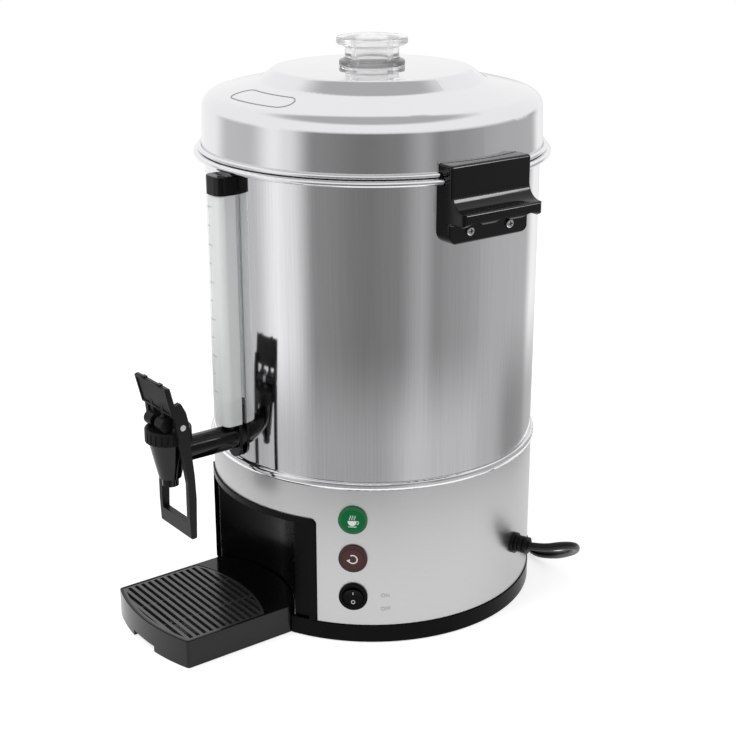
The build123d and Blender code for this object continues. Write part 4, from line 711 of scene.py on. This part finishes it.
        # The same near the table.
        low_levels = ((-180, 0.3), (-150, 0.5), (-5, 0.4), (20, 0.46), (55, 0.46), (76, 0.7),
                      (110, 0.66), (130, 0.5), (150, 0.22), (180, 0.3))
        material = empty_material("card_grey")
        tree = material.node_tree
        places = add_node(tree, "ShaderNodeTexCoord")
        split = add_node(tree, "ShaderNodeSeparateXYZ", {"Vector": places.outputs["Object"]})
        back = add_node(tree, "ShaderNodeMath", {0: split.outputs["Y"], 1: -1.0}, operation="MULTIPLY")
        turn = add_node(tree, "ShaderNodeMath", {0: split.outputs["X"], 1: back.outputs[0]},
                        operation="ARCTAN2")
        share = add_node(tree, "ShaderNodeMapRange", {"Value": turn.outputs[0], "From Min": -math.pi,
                         "From Max": math.pi})
        high, low = (self.soft_greys(tree, share.outputs["Result"], band) for band in (levels, low_levels))
        foot = add_node(tree, "ShaderNodeMapRange", {"Value": split.outputs["Z"],
                        "From Min": self.low_greys_from, "From Max": self.low_greys_full,
                        "To Max": self.low_greys_share}, interpolation_type="SMOOTHSTEP")
        grey = add_node(tree, "ShaderNodeMixRGB", {"Fac": foot.outputs["Result"], "Color1": high,
                        "Color2": low})
        head = add_node(tree, "ShaderNodeMapRange", {"Value": split.outputs["Z"],
                        "From Min": self.card_height, "From Max": self.card_height - self.card_head_fade},
                        interpolation_type="SMOOTHSTEP")
        glow = add_node(tree, "ShaderNodeEmission", {"Color": grey.outputs["Color"], "Strength": 1.0})
        clear = add_node(tree, "ShaderNodeBsdfTransparent")
        mixed = add_node(tree, "ShaderNodeMixShader", {0: head.outputs["Result"], 1: clear.outputs[0],
                         2: glow.outputs[0]})
        add_node(tree, "ShaderNodeOutputMaterial", {"Surface": mixed.outputs[0]})
        return material

    def hang_high_card(self) -> None:
        """A round grey card overhead. Only mirrors show it: it draws the lid's step and shoulder."""
        turn, rise = math.radians(self.high_azimuth), math.radians(self.high_rise)
        centre = around(self.high_azimuth, self.high_reach * math.cos(rise),
                        self.high_base + self.high_reach * math.sin(rise))
        bm = flat_disc(self.high_radius, 48)
        tip = Matrix.Rotation(turn, 4, "Z") @ Matrix.Rotation(-(math.pi / 2 - rise), 4, "X")
        bmesh.ops.transform(bm, matrix=Matrix.Translation(centre) @ tip, verts=bm.verts)
        card = add_object("high_card", mesh_from("high_card", bm))
        card.data.materials.append(self.high_card_grey(centre))
        self.show_in_mirrors_only(card)

    def high_card_grey(self, centre: Vector) -> bpy.types.Material:
        """A grey that fades out softly from half the high card's radius to its edge.

        Args:
            centre: the card's middle.

        Returns:
            The card's material.
        """
        material = empty_material("high_card_grey")
        tree = material.node_tree
        places = add_node(tree, "ShaderNodeTexCoord")
        away = add_node(tree, "ShaderNodeVectorMath", {0: places.outputs["Object"], 1: centre},
                        operation="DISTANCE")
        soft = add_node(tree, "ShaderNodeMapRange", {"Value": away.outputs["Value"],
                        "From Min": self.high_radius, "From Max": self.high_radius * 0.5},
                        interpolation_type="SMOOTHSTEP")
        clear = add_node(tree, "ShaderNodeBsdfTransparent")
        level = self.high_grey
        glow = add_node(tree, "ShaderNodeEmission", {"Color": (level, level, level, 1.0), "Strength": 1.0})
        mixed = add_node(tree, "ShaderNodeMixShader", {0: soft.outputs["Result"], 1: clear.outputs[0],
                         2: glow.outputs[0]})
        add_node(tree, "ShaderNodeOutputMaterial", {"Surface": mixed.outputs[0]})
        return material

    def hang_lamp(self, name: str, azimuth: float, rise: float, reach: float, size: float,
                  power: float) -> bpy.types.Object:
        """Hangs a soft square lamp that looks at the urn's middle.

        Args:
            name: the lamp's name.
            azimuth: degrees from the faucet's side towards the switch.
            rise: degrees above level.
            reach: metres from the urn's middle.
            size: the lamp's side in metres.
            power: its power in watts.

        Returns:
            The lamp.
        """
        data = bpy.data.lights.new(name, "AREA")
        data.shape = "SQUARE"
        data.size = size
        data.energy = power
        lamp = add_object(name, data)
        target = Vector(self.lamp_target)
        lamp.location = around(azimuth, reach * math.cos(math.radians(rise)),
                               target.z + reach * math.sin(math.radians(rise)))
        lamp.rotation_euler = (target - lamp.location).to_track_quat("-Z", "Y").to_euler()
        lamp.visible_camera = False
        lamp.visible_glossy = False
        return lamp

    def hang_shine(self, name: str, azimuth: float, rise: float, size: float, power: float) -> None:
        """A lamp for the black pieces alone, which shows as a shine along their rounded edges.

        Args:
            name: the lamp's name.
            azimuth: degrees from the faucet's side towards the switch.
            rise: degrees above level.
            size: the lamp's side in metres.
            power: its power in watts.
        """
        lamp = self.hang_lamp(name, azimuth, rise, self.shine_reach, size, power)
        lamp.visible_glossy = True
        blacks = bpy.data.collections.new(f"{name}_receivers")
        for finish in (GLOSS_BLACK, MATT_BLACK, GRATE_BLACK_PAINTED_SHEEN):
            for node in NODE_FINISHES[finish].split():
                blacks.objects.link(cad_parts[node])
        lamp.light_linking.receiver_collection = blacks

    def build(self) -> None:
        """Sets up the whole studio."""
        bpy.context.scene.view_settings.view_transform = "Standard"
        self.light_world()
        self.lay_floor()
        self.hang_cards()
        self.hang_high_card()
        self.hang_lamp("key", azimuth=-10.0, rise=48.0, reach=1.9, size=0.9, power=18.0)
        self.hang_lamp("fill", azimuth=120.0, rise=40.0, reach=2.1, size=1.1, power=10.0)
        self.hang_shine("shine_right", azimuth=127.0, rise=29.0, size=0.46, power=10.0)
        self.hang_shine("shine_left", azimuth=-127.0, rise=21.0, size=0.8, power=8.0)


# ------------------------------------------------------------------ cord
@dataclass
class PowerCord:
    """The mains cord: it drops from its boot, runs behind the urn and lies in a tied coil."""

    wardrobe: Wardrobe
    diameter: float = 0.007
    coil_centre: PAIR = (-0.128, 0.184)
    coil_start: float = -76.2
    coil_turns: float = 2.39
    points_per_turn: int = 20
    strap_turn: float = 0.205
    strap_round: float = 0.0046
    strap_width: float = 0.009

    def route(self) -> list[POINT]:
        """The cord's way from the boot to the coil, in metres."""
        return [(0.14360, 0.06095, 0.058), (0.15557, 0.06603, 0.059), (0.1653, 0.0796, 0.0615),
                (0.1651, 0.0956, 0.0560), (0.1495, 0.1124, 0.0410), (0.1280, 0.1236, 0.0260),
                (0.1058, 0.1316, 0.0124), (0.0794, 0.1284, 0.0046), (0.0524, 0.1434, 0.0036),
                (0.0220, 0.1610, 0.0036), (-0.0132, 0.1656, 0.0036), (-0.0500, 0.1614, 0.0036),
                (-0.0860, 0.1520, 0.0036)]

    def coil(self) -> list[POINT]:
        """The tied turns: each place in the bundle is a diameter from its neighbours.

        Returns:
            The spline's points along the coil, in metres.
        """
        # Turns made so far, and there the distance from the coil's middle and the height, in mm.
        stations = ((0.0, 42.0, 4.0), (0.1, 39.9, 4.7), (0.2, 37.8, 4.9), (0.3, 37.8, 4.4),
                    (0.6, 37.8, 3.7), (0.7, 39.0, 3.7), (0.8, 42.0, 3.7), (0.9, 45.0, 5.6),
                    (1.0, 45.7, 10.2), (1.1, 45.6, 8.2), (1.2, 45.6, 4.9), (1.3, 45.6, 4.4),
                    (1.6, 45.6, 3.7), (1.7, 44.8, 7.3), (1.8, 42.0, 10.9), (1.9, 38.8, 11.0),
                    (2.0, 37.8, 10.4), (2.1, 40.2, 11.6), (2.2, 42.0, 11.2), (2.39, 42.0, 10.8))
        count = round(self.coil_turns * self.points_per_turn)
        inward = math.cos(math.pi / self.points_per_turn)
        points = []
        for index in range(count + 1):
            made = self.coil_turns * index / count
            place = max(i for i in range(len(stations) - 1) if stations[i][0] <= made + 1e-9)
            before, after = stations[place], stations[place + 1]
            share = (made - before[0]) / (after[0] - before[0])
            share = share * share * (3 - 2 * share)
            radius, height = (before[i] + share * (after[i] - before[i]) for i in (1, 2))
            turn = math.radians(self.coil_start - 360 * made)
            reach = radius / inward * MM
            points.append((self.coil_centre[0] + reach * math.cos(turn),
                           self.coil_centre[1] + reach * math.sin(turn), height * MM))
        return points

    def lead(self) -> list[POINT]:
        """The last short run into the plug, in metres."""
        return [(-0.1555, 0.2173, 0.0103), (-0.1495, 0.2253, 0.0096), (-0.1374, 0.2412, 0.0093)]

    def tie(self) -> bpy.types.Object:
        """A strap drawn round the turns.

        Returns:
            The strap.
        """
        turn = math.radians(self.coil_start - 360 * self.strap_turn)
        middle = Vector((*self.coil_centre, 0))
        outward = Vector((math.cos(turn), math.sin(turn), 0))
        along = Vector((-math.sin(turn), math.cos(turn), 0))
        bm = bmesh.new()
        # The three turns that the strap holds: distance from the coil's middle and height, in mm.
        for radius, height in ((37.8, 4.9), (46.2, 4.9), (42.0, 11.2)):
            place = Matrix((along.cross(outward), outward, along)).transposed().to_4x4()
            place.translation = middle + outward * radius * MM + Vector((0, 0, height * MM))
            bmesh.ops.create_cone(bm, cap_ends=True, segments=24, radius1=self.strap_round,
                                  radius2=self.strap_round, depth=self.strap_width, matrix=place)
        hull = bmesh.ops.convex_hull(bm, input=bm.verts)
        spare = {item for key in ("geom_interior", "geom_unused") for item in hull[key]
                 if isinstance(item, bmesh.types.BMVert)}
        bmesh.ops.delete(bm, geom=list(spare), context="VERTS")
        return piece_from("cord_strap", bm, self.wardrobe.of(RUBBER), Rides.URN)

    def build(self) -> None:
        """Makes the cord and its strap."""
        points = self.route() + self.coil() + self.lead()
        data = bpy.data.curves.new("mains_cord", "CURVE")
        data.dimensions = "3D"
        data.bevel_depth = self.diameter / 2
        data.bevel_resolution = 6
        data.use_fill_caps = True
        data.resolution_u = 8
        spline = data.splines.new("NURBS")
        spline.points.add(len(points) - 1)
        for point, place in zip(spline.points, points):
            point.co = (*place, 1.0)
        spline.order_u = 3
        spline.use_endpoint_u = True
        data.materials.append(self.wardrobe.of(CORD_PVC))
        cord = add_object("mains_cord", data)
        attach(cord, Rides.URN.value)
        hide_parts("power_cord", "cord_coil", "plug_lead")
        tie = self.tie()
        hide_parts("cord_tie")
        LOG.info("cord of %d points", len(points))


# ------------------------------------------------------------------ lid
@dataclass
class LidMark:
    """A fine raised outline on the lid's slope."""

    wardrobe: Wardrobe
    middle_azimuth: float = 3.5
    middle_radius: float = 0.1148
    half_length: float = 0.0355
    half_width: float = 0.0105
    corner_share: float = 0.95
    line: float = 0.0009
    long_edge: float = 0.004
    height: float = 0.00035
    sunk: float = 0.0001
    # The slope's foot: its distance from the axis and its height.
    foot_radius: float = 0.1406
    foot_height: float = 0.4357
    slope: float = math.atan2(11.0, 46.6)

    def surface(self, azimuth: float, radius: float) -> Vector:
        """The point of the lid's slope at an azimuth and a distance from the axis."""
        return around(azimuth, radius, self.foot_height + (self.foot_radius - radius) * math.tan(self.slope))

    def build(self) -> None:
        """Bends a rounded rectangle's outline onto the slope."""
        bm = flat_rectangle(self.half_length, self.half_width)
        bmesh.ops.bevel(bm, geom=bm.verts[:], affect="VERTICES", offset=self.half_width * self.corner_share,
                        offset_type="OFFSET", segments=8, profile=0.5, material=-1)
        keep_rim(bm, self.line)
        straights = [edge for edge in bm.edges if edge.calc_length() > self.long_edge]
        bmesh.ops.subdivide_edges(bm, edges=straights, cuts=14, use_grid_fill=True)
        thicken(bm, self.height)
        for vert in bm.verts:
            azimuth = self.middle_azimuth + math.degrees(vert.co.x / self.middle_radius)
            place = self.surface(azimuth, self.middle_radius + vert.co.y)
            vert.co = place + Vector((0, 0, vert.co.z - self.sunk))
        piece = piece_from("lid_outline", bm, self.wardrobe.of(GREY_INK), Rides.LID)


# ------------------------------------------------------------------ lamps, switch and gauge marks
@dataclass
class CupMark:
    """A steaming cup, drawn flat: a bowl, its ear, a saucer and three wisps."""

    bowl_radius: float = 0.0036
    bowl_cut: float = 0.0008
    bowl_place: PAIR = (-0.0004, -0.0008)
    ear_radius: float = 0.0013
    ear_width: float = 0.0006
    ear_place: PAIR = (0.0036, -0.0014)
    saucer_half: PAIR = (0.0034, 0.0003)
    saucer_place: PAIR = (-0.0002, -0.0052)
    wisps_across: tuple[float, ...] = (-0.0023, -0.0004, 0.0015)
    wisp_radius: float = 0.0011
    wisp_width: float = 0.0005
    # The lower and the upper bend of a wisp: where each starts in degrees, and its place.
    wisp_bends: tuple[tuple[float, float, float], ...] = ((120, 0.0008, 0.0019), (-60, -0.0003, 0.0038))

    def draw(self) -> bmesh.types.BMesh:
        """Draws the cup.

        Returns:
            The flat mark on the XY plane.
        """
        bowl = flat_disc(self.bowl_radius)
        bmesh.ops.bisect_plane(bowl, geom=[*bowl.verts, *bowl.edges, *bowl.faces],
                               plane_co=(0, self.bowl_cut, 0), plane_no=(0, 1, 0), clear_outer=True)
        move_flat(bowl, *self.bowl_place)
        ear = flat_arc(self.ear_radius, self.ear_width, -100, 200, 16)
        move_flat(ear, *self.ear_place)
        saucer = flat_rectangle(*self.saucer_half)
        move_flat(saucer, *self.saucer_place)
        wisps = []
        for middle in self.wisps_across:
            for start, across, up in self.wisp_bends:
                bend = flat_arc(self.wisp_radius, self.wisp_width, start, 120, 8)
                move_flat(bend, middle + across, up)
                wisps.append(bend)
        return joined([bowl, ear, saucer, *wisps])


@dataclass
class BrewMark:
    """A turning arrow, drawn flat."""

    radius: float = 0.0036
    width: float = 0.0010
    head_radius: float = 0.0019
    head_turn: float = 200.0
    head_place: PAIR = (-0.0034, -0.0014)

    def draw(self) -> bmesh.types.BMesh:
        """Draws the arrow.

        Returns:
            The flat mark on the XY plane.
        """
        ring = flat_arc(self.radius, self.width, -150, 270, 36)
        head = flat_disc(self.head_radius, 3)
        bmesh.ops.rotate(head, verts=head.verts,
                         matrix=Matrix.Rotation(math.radians(self.head_turn), 3, "Z"))
        move_flat(head, *self.head_place)
        return joined([ring, head])


@dataclass
class ControlPanel:
    """The marks on the two lamps and the rocker, and the words beside it."""

    wardrobe: Wardrobe
    azimuth: float = 46.6
    skirt_radius: float = 0.141
    lens_radius: float = 0.1433
    ready_height: float = 0.1121
    brew_height: float = 0.0776
    switch_height: float = 0.0428
    film: float = 0.00012
    letter_size: float = 0.0048
    print_gap: float = 0.00002
    word_across: float = 0.0225
    on_height: float = 0.0421
    off_height: float = 0.0298
    # The rocker: its face and hinge from the axis, its lean in degrees, and its face's hollow as a radius.
    rocker_face: float = 0.1428
    rocker_hinge: float = 0.1388
    rocker_lean: float = 7.0
    rocker_hollow: float = 0.0083 * 3
    rocker_mark_up: float = 0.0042
    rocker_mark_sunk: float = 0.0002
    bar_half: PAIR = (0.00028, 0.0013)
    ring_radius: float = 0.0014
    ring_width: float = 0.0005

    def place_mark(self, name: str, mark: bmesh.types.BMesh, height: float) -> None:
        """Raises a lamp's mark by the ink's film and brings it onto the lens.

        Args:
            name: the piece's name.
            mark: the flat mark on the XY plane.
            height: the height of the lamp's middle.
        """
        thicken(mark, self.film)
        place = facing(self.azimuth, self.lens_radius, height)
        bmesh.ops.transform(mark, matrix=place, verts=mark.verts)
        made = piece_from(name, mark, self.wardrobe.of(PALE_INK), Rides.URN)

    def word(self, text: str, height: float) -> None:
        """Prints one word on the skirt, to the right of the rocker.

        Args:
            text: the word.
            height: the height of its foot in metres.
        """
        data = bpy.data.curves.new(f"word_{text}", "FONT")
        data.body = text
        data.size = self.letter_size
        data.resolution_u = 4
        letters = add_object(f"word_{text}", data)
        bpy.context.view_layer.update()
        bm = bmesh.new()
        bm.from_mesh(bpy.data.meshes.new_from_object(letters))
        bpy.data.objects.remove(letters)
        thicken(bm, self.film)
        for vert in bm.verts:
            turn = self.azimuth + math.degrees((self.word_across + vert.co.x) / self.skirt_radius)
            vert.co = around(turn, self.skirt_radius + self.print_gap + vert.co.z, height + vert.co.y)
        made = piece_from(f"printed_{text.lower()}", bm, self.wardrobe.of(WORD_INK), Rides.URN)

    def rocker_mark(self, name: str, mark: bmesh.types.BMesh, side: int) -> None:
        """Raises a mark and lays it on the rocker's tilted, hollowed face.

        Args:
            name: the piece's name.
            mark: the flat mark on the XY plane.
            side: 1 for the upper half and -1 for the lower one.
        """
        hinge = Matrix.Translation((0, -self.rocker_hinge, self.switch_height))
        lean = hinge @ Matrix.Rotation(math.radians(self.rocker_lean), 4, "X") @ hinge.inverted()
        turn = Matrix.Rotation(math.radians(self.azimuth), 4, "Z")
        thicken(mark, self.film)
        for vert in mark.verts:
            up = side * self.rocker_mark_up + vert.co.y
            depth = (self.rocker_face - self.rocker_mark_sunk + self.rocker_hollow
                     - math.sqrt(self.rocker_hollow ** 2 - up ** 2))
            vert.co = Vector((vert.co.x, -(depth + vert.co.z), self.switch_height + up))
        bmesh.ops.transform(mark, matrix=turn @ lean, verts=mark.verts)
        made = piece_from(name, mark, self.wardrobe.of(PALE_INK), Rides.ROCKER)

    def build(self) -> None:
        """Makes all the marks."""
        self.place_mark("ready_mark", CupMark().draw(), self.ready_height)
        self.place_mark("brew_mark", BrewMark().draw(), self.brew_height)
        self.rocker_mark("rocker_bar", flat_rectangle(*self.bar_half, rows=4), 1)
        self.rocker_mark("rocker_ring", flat_arc(self.ring_radius, self.ring_width, 0, 360, 28), -1)
        self.word("ON", self.on_height)
        self.word("OFF", self.off_height)


# ------------------------------------------------------------------ fine trim
@dataclass
class ScrewCrossShades:
    """Painted shade for the cross recesses in the heads of the handle screws: dark flat films, not hollows.
    """

    wardrobe: Wardrobe
    head_radius: float = 0.0036
    half_length: float = 0.0017
    half_width: float = 0.00038
    film: float = 0.00008
    bar_turns: PAIR = (20.0, 110.0)

    def build(self) -> None:
        """Lays a dark cross of painted shade on each of the four heads."""
        low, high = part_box("handle_screws")
        height = (low.z + high.z) / 2
        pitch = high.y - self.head_radius
        bars = []
        for side in (-90, 90):
            for across in (-pitch, pitch):
                head = facing(side, high.x, height) @ Matrix.Translation((across, 0, 0))
                for turn in self.bar_turns:
                    bar = flat_rectangle(self.half_length, self.half_width)
                    thicken(bar, self.film)
                    bmesh.ops.transform(bar, matrix=head @ Matrix.Rotation(math.radians(turn), 4, "Z"),
                                        verts=bar.verts)
                    bars.append(bar)
        made = piece_from("screw_cross_painted_shade", joined(bars), self.wardrobe.of(RUBBER), Rides.URN)


@dataclass
class PaddleBorder:
    """The raised border on the front of the lever's paddle.

    The front's foot and head are given by their distance in front of the tank's axis and their height.
    """

    wardrobe: Wardrobe
    foot: PAIR = (0.2139, 0.2040)
    head: PAIR = (0.21993, 0.2290)
    half_width: float = 0.0243
    margin: float = 0.0006
    line: float = 0.0026
    proud: float = 0.0008
    sunk: float = 0.0003

    def build(self) -> None:
        """Draws the border on the paddle's slope."""
        reach = Vector((0, self.foot[0] - self.head[0], self.head[1] - self.foot[1]))
        up = reach.normalized()
        across = Vector((1, 0, 0))
        place = Matrix((across, up, across.cross(up))).transposed().to_4x4()
        place.translation = Vector((0, -(self.foot[0] + self.head[0]) / 2, (self.foot[1] + self.head[1]) / 2))
        bm = flat_rectangle(self.half_width, reach.length / 2 - self.margin)
        keep_rim(bm, self.line)
        thicken(bm, self.proud + self.sunk)
        bmesh.ops.translate(bm, verts=bm.verts, vec=(0, 0, -self.sunk))
        bmesh.ops.transform(bm, matrix=place, verts=bm.verts)
        made = piece_from("paddle_border", bm, self.wardrobe.of(MATT_BLACK), Rides.LEVER)


@dataclass
class GaugeMarks:
    """The level lines printed on the gauge's shield, every other one longer."""

    wardrobe: Wardrobe
    face: float = 0.157
    low: float = 0.205
    high: float = 0.360
    pitch: float = 0.0155
    left: float = -0.0072
    half_lengths: PAIR = (0.0030, 0.0019)
    half_width: float = 0.0003
    film: float = 0.00015

    def build(self) -> None:
        """Makes a short fine bar for each level."""
        bars = []
        count = int((self.high - self.low) / self.pitch) + 1
        for index in range(count):
            half = self.half_lengths[index % 2]
            bar = flat_rectangle(half, self.half_width)
            thicken(bar, self.film)
            level = facing(0, self.face, self.low + index * self.pitch)
            bmesh.ops.transform(bar, matrix=level @ Matrix.Translation((self.left + half, 0, 0)),
                                verts=bar.verts)
            bars.append(bar)
        made = piece_from("gauge_marks", joined(bars), self.wardrobe.of(GREY_INK), Rides.URN)


def press_spring() -> None:
    """Gives the faucet's spring a mesh of its own."""
    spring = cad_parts["faucet_spring"]
    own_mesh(spring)


def main() -> None:
    """Builds the studio and every dressed piece in order."""
    logging.basicConfig(level=logging.INFO, format="%(name)s: %(message)s")
    wardrobe = Wardrobe()
    studio = Studio()
    studio.place_camera()
    PowerCord(wardrobe).build()
    studio.build()
    wardrobe.dress_nodes()
    LidMark(wardrobe).build()
    ControlPanel(wardrobe).build()
    PaddleBorder(wardrobe).build()
    ScrewCrossShades(wardrobe).build()
    press_spring()
    GaugeMarks(wardrobe).build()


if __name__ == "__main__":
    main()
